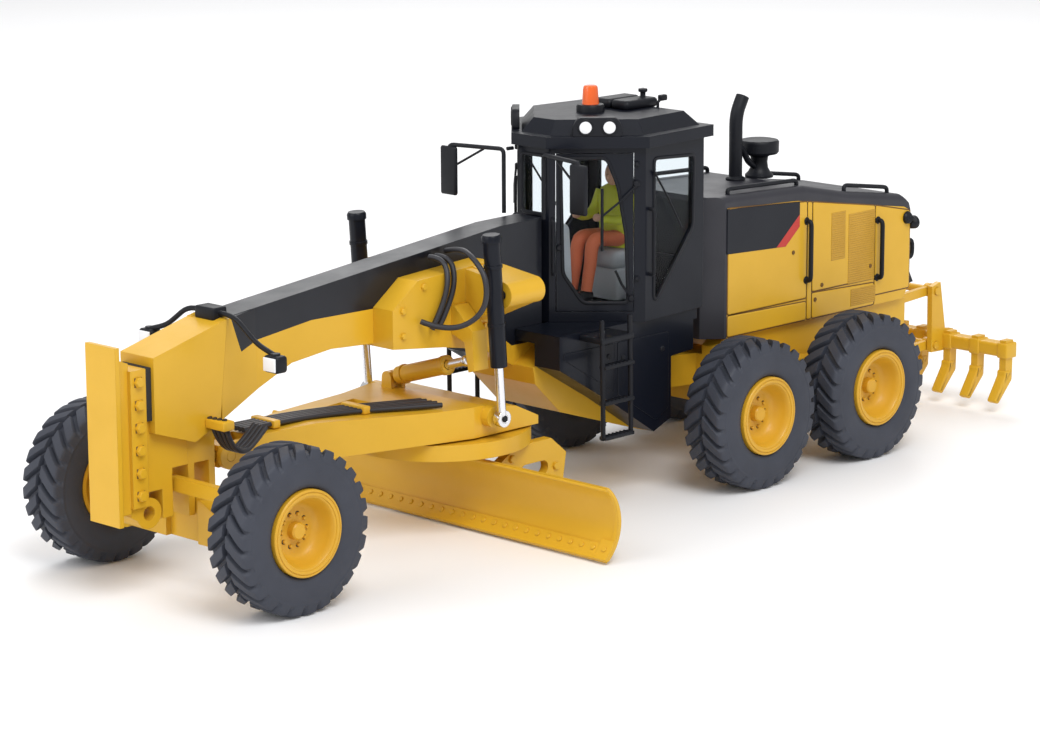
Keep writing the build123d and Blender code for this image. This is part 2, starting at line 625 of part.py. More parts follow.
for name, s in (("left", 1), ("right", -1)):
    # Lean bracket: a fork round the axle's end, carrying the kingpin
    with BuildPart() as bracket:
        for x0 in (WHEELBASE - FORK_HALF, WHEELBASE + FORK_IN):
            with BuildSketch(across(x0)):
                with Locations((s * LEAN_Y, LEAN_Z)):
                    Circle(1.6)
                Polygon(
                    (s * LEAN_Y, LEAN_Z - 1.6), (s * BRACKET_OUT, LEAN_Z - 1.6), (s * BRACKET_OUT, LEAN_BAR_Z + 1.4),
                    (s * (LEAN_Y - 1.0), LEAN_BAR_Z + 1.4), (s * (LEAN_Y - 1.0), LEAN_BAR_Z - 1.6),
                    (s * 14.0, LEAN_Z + 3.0), align=None,
                )
            extrude(amount=FORK_HALF - FORK_IN)
        with BuildSketch(across(WHEELBASE - FORK_HALF)):
            with Locations((s * LEAN_Y, LEAN_Z)):
                Circle(LEAN_PIN_R)
        extrude(amount=2 * FORK_HALF)
        with BuildSketch(across(WHEELBASE + FORK_IN)):
            with Locations((s * LEAN_Y, LEAN_BAR_Z)):
                Circle(LEAN_PIN_R)
        extrude(amount=LEAN_BAR_X + LEAN_BAR_T + 0.2 - WHEELBASE - FORK_IN)
        with BuildSketch(across(WHEELBASE - FORK_HALF)):
            Polygon(
                (s * BRACKET_IN, LEAN_Z - 1.6), (s * BRACKET_OUT, LEAN_Z - 1.6),
                (s * BRACKET_OUT, LEAN_BAR_Z + 1.4), (s * BRACKET_IN, LEAN_BAR_Z + 1.4), align=None,
            )
        extrude(amount=2 * FORK_HALF)
        for z in (8.6, 17.4):
            with BuildSketch(level(z)):
                with Locations((WHEELBASE, s * KINGPIN_Y)):
                    Circle(1.7)
                Polygon(
                    (WHEELBASE - 1.7, s * (BRACKET_OUT - 0.4)), (WHEELBASE + 1.7, s * (BRACKET_OUT - 0.4)),
                    (WHEELBASE + 1.7, s * KINGPIN_Y), (WHEELBASE - 1.7, s * KINGPIN_Y), align=None,
                )
            extrude(amount=2.0)
        with BuildSketch(level(8.6)):
            with Locations((WHEELBASE, s * KINGPIN_Y)):
                Circle(KINGPIN_R)
        extrude(amount=10.8)
    save(bracket.part, f"lean_bracket_{name}")

    # Steering knuckle on the kingpin, with the wheel's spindle
    with BuildPart() as knuckle:
        with BuildSketch(level(10.6 + FACE_GAP)):
            with Locations((WHEELBASE, s * KINGPIN_Y)):
                Circle(1.9)
                Circle(KINGPIN_R + PIN_FIT, mode=Mode.SUBTRACT)
        extrude(amount=6.8 - 2 * FACE_GAP)
        with BuildSketch(side(s * (KINGPIN_Y + 1.4))):
            with Locations((WHEELBASE, TYRE_R)):
                Circle(2.0)
        extrude(amount=-s * 1.0)
        with BuildSketch(side(s * (KINGPIN_Y + 1.4))):
            with Locations((WHEELBASE, TYRE_R)):
                Circle(SPINDLE_R)
        extrude(amount=-s * (TRACK / 2 + 2.0 - KINGPIN_Y - 1.4))
    save(knuckle.part, f"knuckle_{name}")

# Lean bar across the front of the two brackets
with BuildPart() as lean_bar:
    with BuildSketch(across(LEAN_BAR_X)):
        with Locations((0, LEAN_BAR_Z)):
            SlotCenterToCenter(2 * LEAN_Y, 2.4)
        with Locations((LEAN_Y, LEAN_BAR_Z), (-LEAN_Y, LEAN_BAR_Z)):
            Circle(LEAN_PIN_R + PIN_FIT, mode=Mode.SUBTRACT)
    extrude(amount=LEAN_BAR_T)
save(lean_bar.part, "lean_bar")

# Drawbar pivot: a block that swings on the head's lug and carries the drawbar's cheeks
with BuildPart() as pivot:
    with BuildSketch(side()):
        Polygon(
            (BALL_X - 2.2, BALL_Z - 1.9), (BALL_X + 1.8, BALL_Z - 1.9), (BALL_X + 1.8, BALL_Z - 0.95),
            (BALL_X - 1.5, BALL_Z - 0.95), (BALL_X - 1.5, BALL_Z + 0.95), (BALL_X + 1.8, BALL_Z + 0.95),
            (BALL_X + 1.8, BALL_Z + 1.9), (BALL_X - 2.2, BALL_Z + 1.9), align=None,
        )
    extrude(amount=PIVOT_HALF, both=True)
    for s in (1, -1):
        with BuildSketch(side(s * (PIVOT_HALF - 0.55))):
            Polygon(
                (BALL_X - 2.2, BALL_Z - 1.9), (BALL_X + 1.8, BALL_Z - 1.9), (BALL_X + 1.8, BALL_Z + 1.9),
                (BALL_X - 2.2, BALL_Z + 1.9), align=None,
            )
        extrude(amount=-s * 0.55)
        with BuildSketch(side(s * PIVOT_HALF)):
            with Locations((BALL_X, BALL_Z)):
                Circle(CHEEK_PIN_R)
        extrude(amount=-s * 1.2)
    with BuildSketch(level(BALL_Z - 1.9)):
        with Locations((BALL_X, 0)):
            Circle(SWING_PIN_R)
    extrude(amount=3.8)
save(pivot.part, "drawbar_pivot")

# Drawbar: an A frame from its front cheeks to the circle, its top falling towards the rear
with BuildPart() as drawbar:
    with BuildSketch(level(DRAWBAR_LOW)):
        Polygon(
            (BALL_X - 5.0, -3.2), (BALL_X - 5.0, 3.2), (BALL_X - 15.0, 5.0), (78.0, 13.6), (62.0, 13.6), (57.5, 9.0),
            (57.5, -9.0), (62.0, -13.6), (78.0, -13.6), (BALL_X - 15.0, -5.0), align=None,
        )
        Polygon(
            (BALL_X - 21.0, -2.2), (BALL_X - 21.0, 2.2), (88.0, 6.6), (88.0, -6.6), align=None,
            mode=Mode.SUBTRACT,
        )
    extrude(amount=8.0)
    with BuildSketch(side()):
        Polygon(
            (56.0, 17.0), (60.0, 18.6), (67.6, 22.2), (76.0, 23.6), (86.0, 23.6),
            (BALL_X - 17.0, 24.6), (BALL_X - 4.0, 24.0), (BALL_X - 4.0, 30.0), (56.0, 30.0), align=None,
        )
    extrude(amount=16.0, both=True, mode=Mode.SUBTRACT)
    for s in (1, -1):
        with BuildSketch(side(s * (PIVOT_HALF + 0.2))):
            with Locations((BALL_X, BALL_Z)):
                Circle(2.3)
            Polygon(
                (BALL_X, BALL_Z - 2.3), (BALL_X, BALL_Z + 2.3), (BALL_X - 6.0, 24.0), (BALL_X - 6.0, DRAWBAR_LOW),
                align=None,
            )
            with Locations((BALL_X, BALL_Z)):
                Circle(CHEEK_PIN_R + PIN_FIT, mode=Mode.SUBTRACT)
        extrude(amount=-s * 1.0)
        with BuildSketch(side(s * 13.4)):
            with Locations((LIFT_EYE_X, LIFT_EYE_Z)):
                Circle(1.9)
        extrude(amount=-s * (LIFT_Y - 0.7 - 13.4 - EYE_DRIFT))
        with BuildSketch(side(s * 13.4)):
            with Locations((LIFT_EYE_X, LIFT_EYE_Z)):
                Circle(1.9)
        extrude(amount=s * 1.6)
    with BuildSketch(level(CIRCLE_LOW)):
        with Locations((CIRCLE_X, 0)):
            Circle(HUB_R)
    extrude(amount=DRAWBAR_LOW + 0.6 - CIRCLE_LOW)
    for x0 in (SHIFT_X - 1.7, SHIFT_X + 0.8):
        with BuildSketch(across(x0)):
            with Locations((SHIFT_FOOT[0], SHIFT_FOOT[1])):
                Circle(1.2)
            Polygon(
                (SHIFT_FOOT[0] - 1.2, SHIFT_FOOT[1]), (SHIFT_FOOT[0] - 1.4, 22.6),
                (SHIFT_FOOT[0] + 1.4, 22.6), (SHIFT_FOOT[0] + 1.2, SHIFT_FOOT[1]), align=None,
            )
        extrude(amount=0.9)
    with BuildSketch(across(SHIFT_X - 1.7)):
        with Locations((SHIFT_FOOT[0], SHIFT_FOOT[1])):
            Circle(SHIFT_PIN_R)
    extrude(amount=3.4)
save(drawbar.part, "drawbar")

# Circle: a ring that turns under the drawbar
with BuildPart() as circle:
    with BuildSketch(level(CIRCLE_LOW)):
        with Locations((CIRCLE_X, 0)):
            Circle(CIRCLE_R)
            Circle(HUB_R + PIN_FIT, mode=Mode.SUBTRACT)
    extrude(amount=CIRCLE_TOP - CIRCLE_LOW)
save(circle.part, "circle")

# Blade arms: two plates that hang from the circle to the moldboard's rails
with BuildPart() as arms:
    for s in (1, -1):
        with BuildSketch(side(s * ARM_Y)):
            Polygon(
                (58.5, CIRCLE_LOW), (67.0, CIRCLE_LOW), (ARM_FRONT, 12.4), (ARM_FRONT, 2.6), (66.5, 2.2),
                (55.4, 6.6), (54.6, 11.5), align=None,
            )
            for z in RAIL_ZS:
                Polygon(
                    (RAIL_BACK - FACE_GAP, z - 0.8 - FACE_GAP), (ARM_FRONT + 1, z - 0.8 - FACE_GAP),
                    (ARM_FRONT + 1, z + 0.8 + FACE_GAP), (RAIL_BACK - FACE_GAP, z + 0.8 + FACE_GAP),
                    align=None, mode=Mode.SUBTRACT,
                )
            with Locations((62.8, 9.6)):
                SlotOverall(7.0, 2.6, mode=Mode.SUBTRACT)
        extrude(amount=0.9, both=True)
    with BuildSketch(side()):
        with Locations((60.4, 6.8)):
            Circle(1.1)
    extrude(amount=ARM_Y, both=True)
save(arms.part, "blade_arms")

# Moldboard: an arc in section, with its cutting edge and the rails on its back
CHORD = BLADE_TOP - BLADE_LOW
SAG = BLADE_R - math.sqrt(BLADE_R ** 2 - (CHORD / 2) ** 2)
BLADE_MID = (BLADE_TOP + BLADE_LOW) / 2
with BuildPart() as moldboard:
    with BuildSketch(side()):
        with BuildLine():
            ThreePointArc((BLADE_X, BLADE_LOW), (BLADE_X - SAG, BLADE_MID), (BLADE_X, BLADE_TOP))
            Line((BLADE_X, BLADE_TOP), (BLADE_X - BLADE_T, BLADE_TOP))
            ThreePointArc(
                (BLADE_X - BLADE_T, BLADE_TOP), (BLADE_X - SAG - BLADE_T, BLADE_MID),
                (BLADE_X - BLADE_T, BLADE_LOW),
            )
            Line((BLADE_X - BLADE_T, BLADE_LOW), (BLADE_X, BLADE_LOW))
        make_face()
    extrude(amount=BLADE_HALF, both=True)
    with BuildSketch(side()):
        for z in RAIL_ZS:
            Polygon(
                (RAIL_BACK, z - 0.8), (BLADE_X - SAG - 0.3, z - 0.8), (BLADE_X - SAG - 0.3, z + 0.8),
                (RAIL_BACK, z + 0.8), align=None,
            )
    extrude(amount=RAIL_HALF, both=True)
save(moldboard.part, "moldboard")

# Lift yoke: the casting that saddles the gooseneck and carries the lift cylinders
with BuildPart() as yoke:
    with BuildSketch(side()):
        Polygon(
            (68.0, 33.4), (80.0, 33.8), (92.0, 35.2), (92.0, 42.0), (86.0, 46.4), (68.0, 47.6), align=None,
        )
    extrude(amount=YOKE_HALF, both=True)
    with BuildSketch(side()):
        Polygon(*NECK, align=None)
    extrude(amount=NECK_HALF, both=True, mode=Mode.SUBTRACT)
    with BuildSketch(side()):
        Polygon((68.0, 31.6), (72.4, 33.6), (68.0, 33.6), align=None)
        Polygon((68.0, 31.6), (68.0, 34.0), (80.0, 34.6), (80.0, 33.8), align=None)
    extrude(amount=YOKE_HALF, both=True)
    with BuildSketch(side()):
        Polygon(*NECK, align=None)
    extrude(amount=NECK_HALF, both=True, mode=Mode.SUBTRACT)
    for s in (1, -1):
        with BuildSketch(across(YOKE_ARM_X)):
            Polygon(
                (s * (YOKE_HALF - 0.5), 37.0), (s * LIFT_Y, TRUNNION_Z - TRUNNION_BOSS_R),
                (s * LIFT_Y, TRUNNION_Z + TRUNNION_BOSS_R), (s * (YOKE_HALF - 0.5), 47.0), align=None,
            )
            with Locations((s * LIFT_Y, TRUNNION_Z)):
                Circle(TRUNNION_BOSS_R)
                Circle(TRUNNION_PIN_R + PIN_FIT, mode=Mode.SUBTRACT)
        extrude(amount=LIFT_X - BARREL_R - FACE_GAP - YOKE_ARM_X)
save(yoke.part, "lift_yoke")

# Bracket on the yoke's left side that holds the shift cylinder's rod
with BuildPart() as shift_bracket:
    with BuildSketch(across(SHIFT_X - 1.5)):
        Polygon(
            (YOKE_HALF, 39.6), (YOKE_HALF, 36.0), (11.2, 34.8), (12.2, 29.6), (13.6, 30.0),
            (13.2, 37.0), (YOKE_HALF + 0.8, 41.0), (YOKE_HALF, 41.0), align=None,
        )
    extrude(amount=3.5)
save(shift_bracket.part, "shift_bracket")

# Lift cylinders
lean = math.atan2(LIFT_X - LIFT_EYE_X, TRUNNION_Z - LIFT_EYE_Z)
axis_dir = Vector(math.sin(lean), 0, math.cos(lean))
for name, s in (("left", 1), ("right", -1)):
    eye = Vector(TANDEM_X + LIFT_EYE_X, s * LIFT_Y, LIFT_EYE_Z)
    start = (LIFT_BARREL_END_Z - LIFT_EYE_Z) / math.cos(lean)
    stop = (LIFT_TOP_Z - LIFT_EYE_Z) / math.cos(lean)
    with BuildPart() as barrel:
        with BuildSketch(Plane(origin=eye + axis_dir * start, z_dir=axis_dir)):
            Circle(BARREL_R)
        extrude(amount=stop - start)
        with BuildSketch(across(YOKE_ARM_X + 4.0)):
            with Locations((s * LIFT_Y, TRUNNION_Z)):
                Circle(TRUNNION_PIN_R)
        extrude(amount=LIFT_X - YOKE_ARM_X - 4.0)
        with BuildSketch(Plane(origin=eye + axis_dir * start, z_dir=axis_dir)):
            Circle(ROD_R + PIN_FIT)
        extrude(amount=stop - start - 1.0, mode=Mode.SUBTRACT)
    save(barrel.part, f"lift_barrel_{name}")
    with BuildPart() as rod:
        with BuildSketch(Plane(origin=eye, z_dir=axis_dir)):
            Circle(ROD_R)
        extrude(amount=start + 10.0)
        with BuildSketch(side(s * (LIFT_Y + 0.7))):
            with Locations((LIFT_EYE_X, LIFT_EYE_Z)):
                Circle(1.4)
        extrude(amount=s * 1.4)
    save(rod.part, f"lift_rod_{name}")

# Centre shift cylinder, from the drawbar's right side up to the yoke's left side
shift_foot = Vector(TANDEM_X + SHIFT_X, *SHIFT_FOOT)
shift_eye = Vector(TANDEM_X + SHIFT_X, *SHIFT_EYE)
shift_dir = (shift_eye - shift_foot).normalized()
shift_plane = Plane(origin=shift_foot, x_dir=(1, 0, 0), z_dir=shift_dir)
with BuildPart() as shift_barrel:
    with BuildSketch(across(SHIFT_X - 0.5)):
        with Locations(SHIFT_FOOT):
            Circle(1.2)
            Circle(SHIFT_PIN_R + PIN_FIT, mode=Mode.SUBTRACT)
    extrude(amount=1.0)
    with BuildSketch(shift_plane.offset(1.0)):
        Rectangle(1.0, 1.8)
    extrude(amount=1.0)
    with BuildSketch(shift_plane.offset(1.7)):
        Circle(SHIFT_BARREL_R)
    extrude(amount=0.9)
    with BuildSketch(shift_plane.offset(2.6)):
        Circle(SHIFT_BARREL_R)
        Circle(ROD_R + PIN_FIT, mode=Mode.SUBTRACT)
    extrude(amount=12.0)
save(shift_barrel.part, "shift_barrel")
with BuildPart() as shift_rod:
    with BuildSketch(shift_plane.offset(6.6)):
        Circle(ROD_R)
    extrude(amount=(shift_eye - shift_foot).length - 6.6)
    with Locations(shift_eye):
        Sphere(SHIFT_BALL_R)
save(shift_rod.part, "shift_rod")

# Cab: outline in plan, from the right front corner round by the left
half = [CAB_FRONT, CAB_WIDE, CAB_REAR]
CAB_PLAN = [(CAB_FRONT[0], -CAB_FRONT[1])] + half + [(CAB_REAR[0], -CAB_REAR[1]), (CAB_WIDE[0], -CAB_WIDE[1])]


def wall(i):
    """The outer plane of one cab wall: x along the wall, y up, z outwards."""
    x0, y0 = CAB_PLAN[i]
    x1, y1 = CAB_PLAN[(i + 1) % len(CAB_PLAN)]
    return Plane(origin=(TANDEM_X + x0, y0, 0), x_dir=(x1 - x0, y1 - y0, 0), z_dir=(y1 - y0, x0 - x1, 0))


DOOR_WALL = math.dist(CAB_FRONT, CAB_WIDE)
SIDE_WALL = math.dist(CAB_WIDE, CAB_REAR)
DOOR = [(1.2, 34.9), (15.4, 34.9), (15.4, 64.0), (1.2, 64.0)]
DOOR_WINDOW = [
    (2.2, 63.0), (10.4, 63.0), (12.4, 58.0), (13.9, 49.0), (14.3, 36.6), (6.2, 36.6), (2.6, 42.0),
]
SIDE_WINDOW = [(2.6, 62.6), (14.6, 61.8), (14.2, 48.5), (3.6, 36.8), (2.6, 36.8)]


def flip(points, length):
    """The same outline on the opposite wall, whose x runs the other way."""
    return [(length - x, z) for x, z in reversed(points)]


WINDOWS = [
    # wall, outline along the wall and up
    (0, [(0.9, 52.8), (2 * CAB_FRONT[1] - 0.9, 52.8), (2 * CAB_FRONT[1] - 0.9, 63.4), (0.9, 63.4)]),
    (1, DOOR_WINDOW),
    (2, SIDE_WINDOW),
    (3, [(3.0, 42.0), (2 * CAB_REAR[1] - 3.0, 42.0), (2 * CAB_REAR[1] - 3.0, 62.0), (3.0, 62.0)]),
    (4, flip(SIDE_WINDOW, SIDE_WALL)),
    (5, flip(DOOR_WINDOW, DOOR_WALL)),
]
DOORS = [(1, DOOR), (5, flip(DOOR, DOOR_WALL))]

with BuildPart() as cab:
    with BuildSketch(level(CAB_LOW)):
        Polygon(*CAB_PLAN, align=None)
    extrude(amount=CAB_TOP - CAB_LOW)
    with BuildSketch(level(CAB_FLOOR)):
        Polygon(*CAB_PLAN, align=None)
        offset(amount=-CAB_WALL, kind=Kind.INTERSECTION, mode=Mode.REPLACE)
    extrude(amount=CAB_TOP - CAB_FLOOR, mode=Mode.SUBTRACT)
    for i, outline in WINDOWS + DOORS:
        with BuildSketch(wall(i).offset(0.5)):
            Polygon(*outline, align=None)
        extrude(amount=-CAB_WALL - 0.7, mode=Mode.SUBTRACT)
save(cab.part, "cab_frame")

with BuildPart() as doors:
    for (i, outline), window in zip(DOORS, (DOOR_WINDOW, flip(DOOR_WINDOW, DOOR_WALL))):
        with BuildSketch(wall(i)):
            Polygon(*outline, align=None)
            offset(amount=-SEAM, kind=Kind.INTERSECTION, mode=Mode.REPLACE)
            Polygon(*window, align=None, mode=Mode.SUBTRACT)
        extrude(amount=-CAB_WALL)
save(doors.part, "cab_doors")

with BuildPart() as glass:
    for i, outline in WINDOWS:
        with BuildSketch(wall(i).offset(-0.3)):
            Polygon(*outline, align=None)
            offset(amount=-PIN_FIT, kind=Kind.INTERSECTION, mode=Mode.REPLACE)
        extrude(amount=-GLASS_T)
save(glass.part, "cab_glass")

# Roof: a brim over the walls and a sloping dome
with BuildPart() as roof:
    with BuildSketch(level(CAB_TOP)):
        Polygon(*CAB_PLAN, align=None)
        offset(amount=BRIM_OVER, kind=Kind.INTERSECTION, mode=Mode.REPLACE)
    extrude(amount=BRIM_T)
    with BuildSketch(level(CAB_TOP + BRIM_T)):
        Polygon(*CAB_PLAN, align=None)
        offset(amount=-0.6, kind=Kind.INTERSECTION, mode=Mode.REPLACE)
    extrude(amount=2.6, taper=40)
save(roof.part, "cab_roof")
ROOF_TOP = CAB_TOP + BRIM_T + 2.6

# Roof unit, lamp clusters and rear post
with BuildPart() as fittings:
    with BuildSketch(level(ROOF_TOP)):
        with Locations((24.5, 0)):
            RectangleRounded(9.0, 9.0, 1.5)
    extrude(amount=1.8)
    for i, length in ((1, DOOR_WALL), (5, DOOR_WALL)):
        mid = length / 2
        with BuildSketch(wall(i).offset(-0.2)):
            Polygon((mid - 4.6, 67.1), (mid + 4.6, 67.1), (mid + 3.6, 70.6), (mid - 3.6, 70.6), align=None)
        extrude(amount=1.4)
save(fittings.part, "roof_fittings")

# Beacon on its base
with BuildPart() as beacon:
    with BuildSketch(level(ROOF_TOP)):
        with Locations((34.0, 0)):
            Circle(2.6)
    extrude(amount=1.4)
    with BuildSketch(level(ROOF_TOP + 1.4)):
        with Locations((34.0, 0)):
            Circle(1.5)
    extrude(amount=3.5, taper=3)
save(beacon.part, "beacon")

# Mirrors: each on an arm from a post in front of the cab
with BuildPart() as mirrors:
    for s in (1, -1):
        with BuildSketch(level(52.45)):
            with Locations((51.6, s * 5.0)):
                Circle(0.4)
        extrude(amount=12.2)
        with BuildSketch(level(63.8)):
            Polygon(
                (51.2, s * 4.8), (52.0, s * 4.8), (54.7, s * 16.3), (53.9, s * 16.3), align=None,
            )
            Polygon((50.4, s * 4.6), (52.0, s * 4.6), (52.0, s * 5.4), (50.4, s * 5.4), align=None)
        extrude(amount=0.8)
        with BuildSketch(across(53.9)):
            with Locations((s * 16.3, 59.4)):
                RectangleRounded(4.0, 9.0, 1.0)
        extrude(amount=0.9)
save(mirrors.part, "mirrors")

# Cab base: deck and side boxes
with BuildPart() as base:
    with BuildSketch(level(DECK_LOW)):
        Polygon((20.5, -BOX_OUT), (57.3, -BOX_OUT), (57.3, BOX_OUT), (20.5, BOX_OUT), align=None)
        Polygon(
            (50.0, -NECK_HALF - 0.2), (58.0, -NECK_HALF - 0.2), (58.0, NECK_HALF + 0.2),
            (50.0, NECK_HALF + 0.2), align=None, mode=Mode.SUBTRACT,
        )
        Polygon((46.0, -NECK_HALF - 0.2), (50.0, -NECK_HALF - 0.2), (50.0, NECK_HALF + 0.2),
                (46.0, NECK_HALF + 0.2), align=None, mode=Mode.SUBTRACT)
    extrude(amount=CAB_LOW - DECK_LOW)
    for s in (1, -1):
        with BuildSketch(side(s * BOX_OUT)):
            Polygon(
                (21.5, DECK_LOW), (21.5, 25.4), (27.6, 25.0), (27.6, 13.4), (32.3, 11.5), (43.4, 18.7), (57.3, 26.9),
                (57.3, DECK_LOW), align=None,
            )
        extrude(amount=s * (BOX_OUT - BASE_HALF - 0.2))
save(base.part, "cab_base")

# Steps: a ladder on each side, hung from the deck's edge
with BuildPart() as steps:
    for s in (1, -1):
        for x in (STEP_BACK, STEP_FRONT):
            with BuildSketch(side(s * STEP_Y)):
                Polygon((x - 0.4, 13.8), (x + 0.4, 13.8), (x + 0.8, 36.0), (x, 36.0), align=None)
            extrude(amount=0.9, both=True)
        for z in (14.0, 20.4, 27.0):
            with BuildSketch(side(s * STEP_Y)):
                Polygon((STEP_BACK, z), (STEP_FRONT, z), (STEP_FRONT, z + 0.8), (STEP_BACK, z + 0.8), align=None)
            extrude(amount=0.9, both=True)
        with BuildSketch(level(DECK_LOW + 0.6)):
            Polygon(
                (STEP_BACK - 0.4, s * (BOX_OUT + 0.05)), (STEP_FRONT + 0.8, s * (BOX_OUT + 0.05)),
                (STEP_FRONT + 0.8, s * STEP_Y), (STEP_BACK - 0.4, s * STEP_Y), align=None,
            )
        extrude(amount=1.2)
save(steps.part, "cab_steps")

# Inside the cab: floor console, seat and dash
with BuildPart() as interior:
    with BuildSketch(side()):
        Polygon(
            (20.4, CAB_FLOOR), (31.0, CAB_FLOOR), (32.0, 42.6), (31.0, 43.6), (24.6, 43.0), (23.4, 56.0),
            (21.0, 56.0), align=None,
        )
    extrude(amount=4.2, both=True)
    with BuildSketch(side()):
        Polygon((41.5, CAB_FLOOR), (45.0, CAB_FLOOR), (45.6, 49.0), (43.6, 50.6), (42.6, 49.6), align=None)
    extrude(amount=3.0, both=True)
save(interior.part, "cab_interior")

# Operator figure, seated
with BuildPart() as figure:
    for y in (-1.7, 1.7):
        with BuildSketch(side(y)):
            Polygon((26.0, 43.9), (33.6, 43.9), (36.6, 35.2), (38.6, 35.2), (35.6, 47.2), (26.0, 47.2),
                    align=None)
        extrude(amount=1.4, both=True)
    with BuildSketch(side()):
        Polygon((25.4, 43.9), (29.6, 43.9), (29.0, 55.4), (25.6, 55.8), align=None)
    extrude(amount=3.6, both=True)
    for y in (-3.4, 3.4):
        with BuildSketch(side(y)):
            Polygon((26.0, 53.0), (34.6, 49.4), (35.2, 51.0), (27.4, 55.4), align=None)
        extrude(amount=0.9, both=True)
    with Locations((TANDEM_X + 27.6, 0, 57.4)):
        Sphere(2.3)
save(figure.part, "operator_figure")

# Front lamps on tubes from the top of the head
with BuildPart() as lamps:
    with BuildSketch(side()):
        Polygon(
            (WHEELBASE - 6.6, 45.4), (WHEELBASE - 5.0, 45.25), (WHEELBASE - 3.4, 44.85), (WHEELBASE - 3.4, 47.0),
            (WHEELBASE - 6.6, 47.0), align=None,
        )
    extrude(amount=2.4, both=True)
    for s in (1, -1):
        with BuildSketch(across(WHEELBASE - 5.4)):
            Polygon(
                (s * 2.0, 47.0), (s * 6.0, 46.2), (s * 12.0, 42.4), (s * 15.6, 41.0), (s * 15.6, 40.0),
                (s * 11.4, 41.4), (s * 5.6, 45.2), (s * 2.0, 46.0), align=None,
            )
        extrude(amount=0.8)
        with BuildSketch(across(WHEELBASE - 6.4)):
            with Locations((s * 16.0, 39.4)):
                Circle(1.9)
        extrude(amount=3.0)
save(lamps.part, "front_lamps")

# Hoses: the bundle along the drawbar with its two clamps, and those of the head and the yoke
def hose(points, radius):
    """A six-sided hose along points given as forward of the tandem, left and up, its bends round."""
    stops = [Vector(TANDEM_X + x, y, z) for x, y, z in points]
    run = stops[1] - stops[0]
    with BuildLine() as route:
        FilletPolyline(*stops, radius=HOSE_BEND)
    with BuildSketch(Plane(origin=stops[0], z_dir=run)) as ring:
        RegularPolygon(radius, 6)
    sweep(sections=ring.sketch, path=route.wire())


with BuildPart() as drawbar_hoses:
    for k in range(5):
        y = (k - 2) * HOSE_PITCH
        hose(
            [(BALL_X - 3.6, y + 0.2, 25.2), (112.0, y, 25.1), (100.0, y + 1.6, 24.85),
             (90.0, 1.2 * y + 4.6, 24.4), (82.4, 1.3 * y + 7.4, 24.2 + 0.1 * (k % 2))],
            HOSE_R,
        )
    for x, y, z in ((114.5, 0.1, 24.4), (96.0, 2.6, 24.1)):
        with BuildSketch(level(z)):
            with Locations((x, y)):
                RectangleRounded(1.6, 5 * HOSE_PITCH + 1.0, 0.4)
        extrude(amount=1.4)
save(drawbar_hoses.part, "drawbar_hoses")

with BuildPart() as nose_hoses:
    for k in range(4):
        y = 4.75 + k * HOSE_PITCH
        hose(
            [(130.8 - 0.2 * k, y, 29.4), (129.4, y, 25.4), (126.6, y + 0.4, 22.9), (123.6, y + 0.3, 24.6),
             (120.8, y - 0.4, 26.4)],
            HOSE_R,
        )
    with BuildSketch(level(27.6)):
        with Locations((130.2, HEAD_HALF + 2.4)):
            RectangleRounded(2.4, 4 * HOSE_PITCH + 0.8, 0.4)
    extrude(amount=1.6)
save(nose_hoses.part, "nose_hoses")

with BuildPart() as yoke_hoses:
    for dx, r in ((0.0, 0.55), (1.6, 0.45)):
        hose(
            [(77.6 + dx, 3.9, 49.2), (77.2 + dx, 7.0, 49.4), (78.0 + dx, 9.2, 46.0), (79.6 + dx, 9.2, 41.4),
             (81.8 + dx, 8.75, 37.6)],
            r,
        )
    hose(
        [(86.0, 8.7, 39.4), (84.6, 11.0, 38.4), (82.0, 15.2, 38.6), (80.2, 18.8, 42.0), (79.9, 18.8, 47.4),
         (79.7, 15.4, 50.6), (77.6, 10.0, 51.4), (75.2, 4.0, 49.8)],
        0.5,
    )
save(yoke_hoses.part, "yoke_hoses")
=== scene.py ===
import math
import bmesh
import bpy
import numpy as np
from mathutils import Matrix, Vector


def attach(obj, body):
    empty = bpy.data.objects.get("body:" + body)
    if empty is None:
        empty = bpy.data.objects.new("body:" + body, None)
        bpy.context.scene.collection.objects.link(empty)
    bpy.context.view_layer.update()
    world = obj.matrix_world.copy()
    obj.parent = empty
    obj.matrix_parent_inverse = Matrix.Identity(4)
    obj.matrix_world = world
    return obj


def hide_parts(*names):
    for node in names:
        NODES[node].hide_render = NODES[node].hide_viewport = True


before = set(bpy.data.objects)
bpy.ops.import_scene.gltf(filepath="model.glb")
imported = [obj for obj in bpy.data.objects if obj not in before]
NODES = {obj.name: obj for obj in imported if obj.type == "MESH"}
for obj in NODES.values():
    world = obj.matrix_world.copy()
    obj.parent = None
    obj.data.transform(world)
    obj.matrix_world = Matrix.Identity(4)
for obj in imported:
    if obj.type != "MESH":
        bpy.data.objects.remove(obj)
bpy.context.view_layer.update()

bl_info = {
    "name": "Grader model dressing",
    "version": (1, 0, 0),
    "blender": (4, 5, 0),
    "location": "3D View > Sidebar > Grader",
    "description": "Finishes, tyres, hoses, lamps and trim for a 1:50 motor grader model",
    "category": "Object",
}

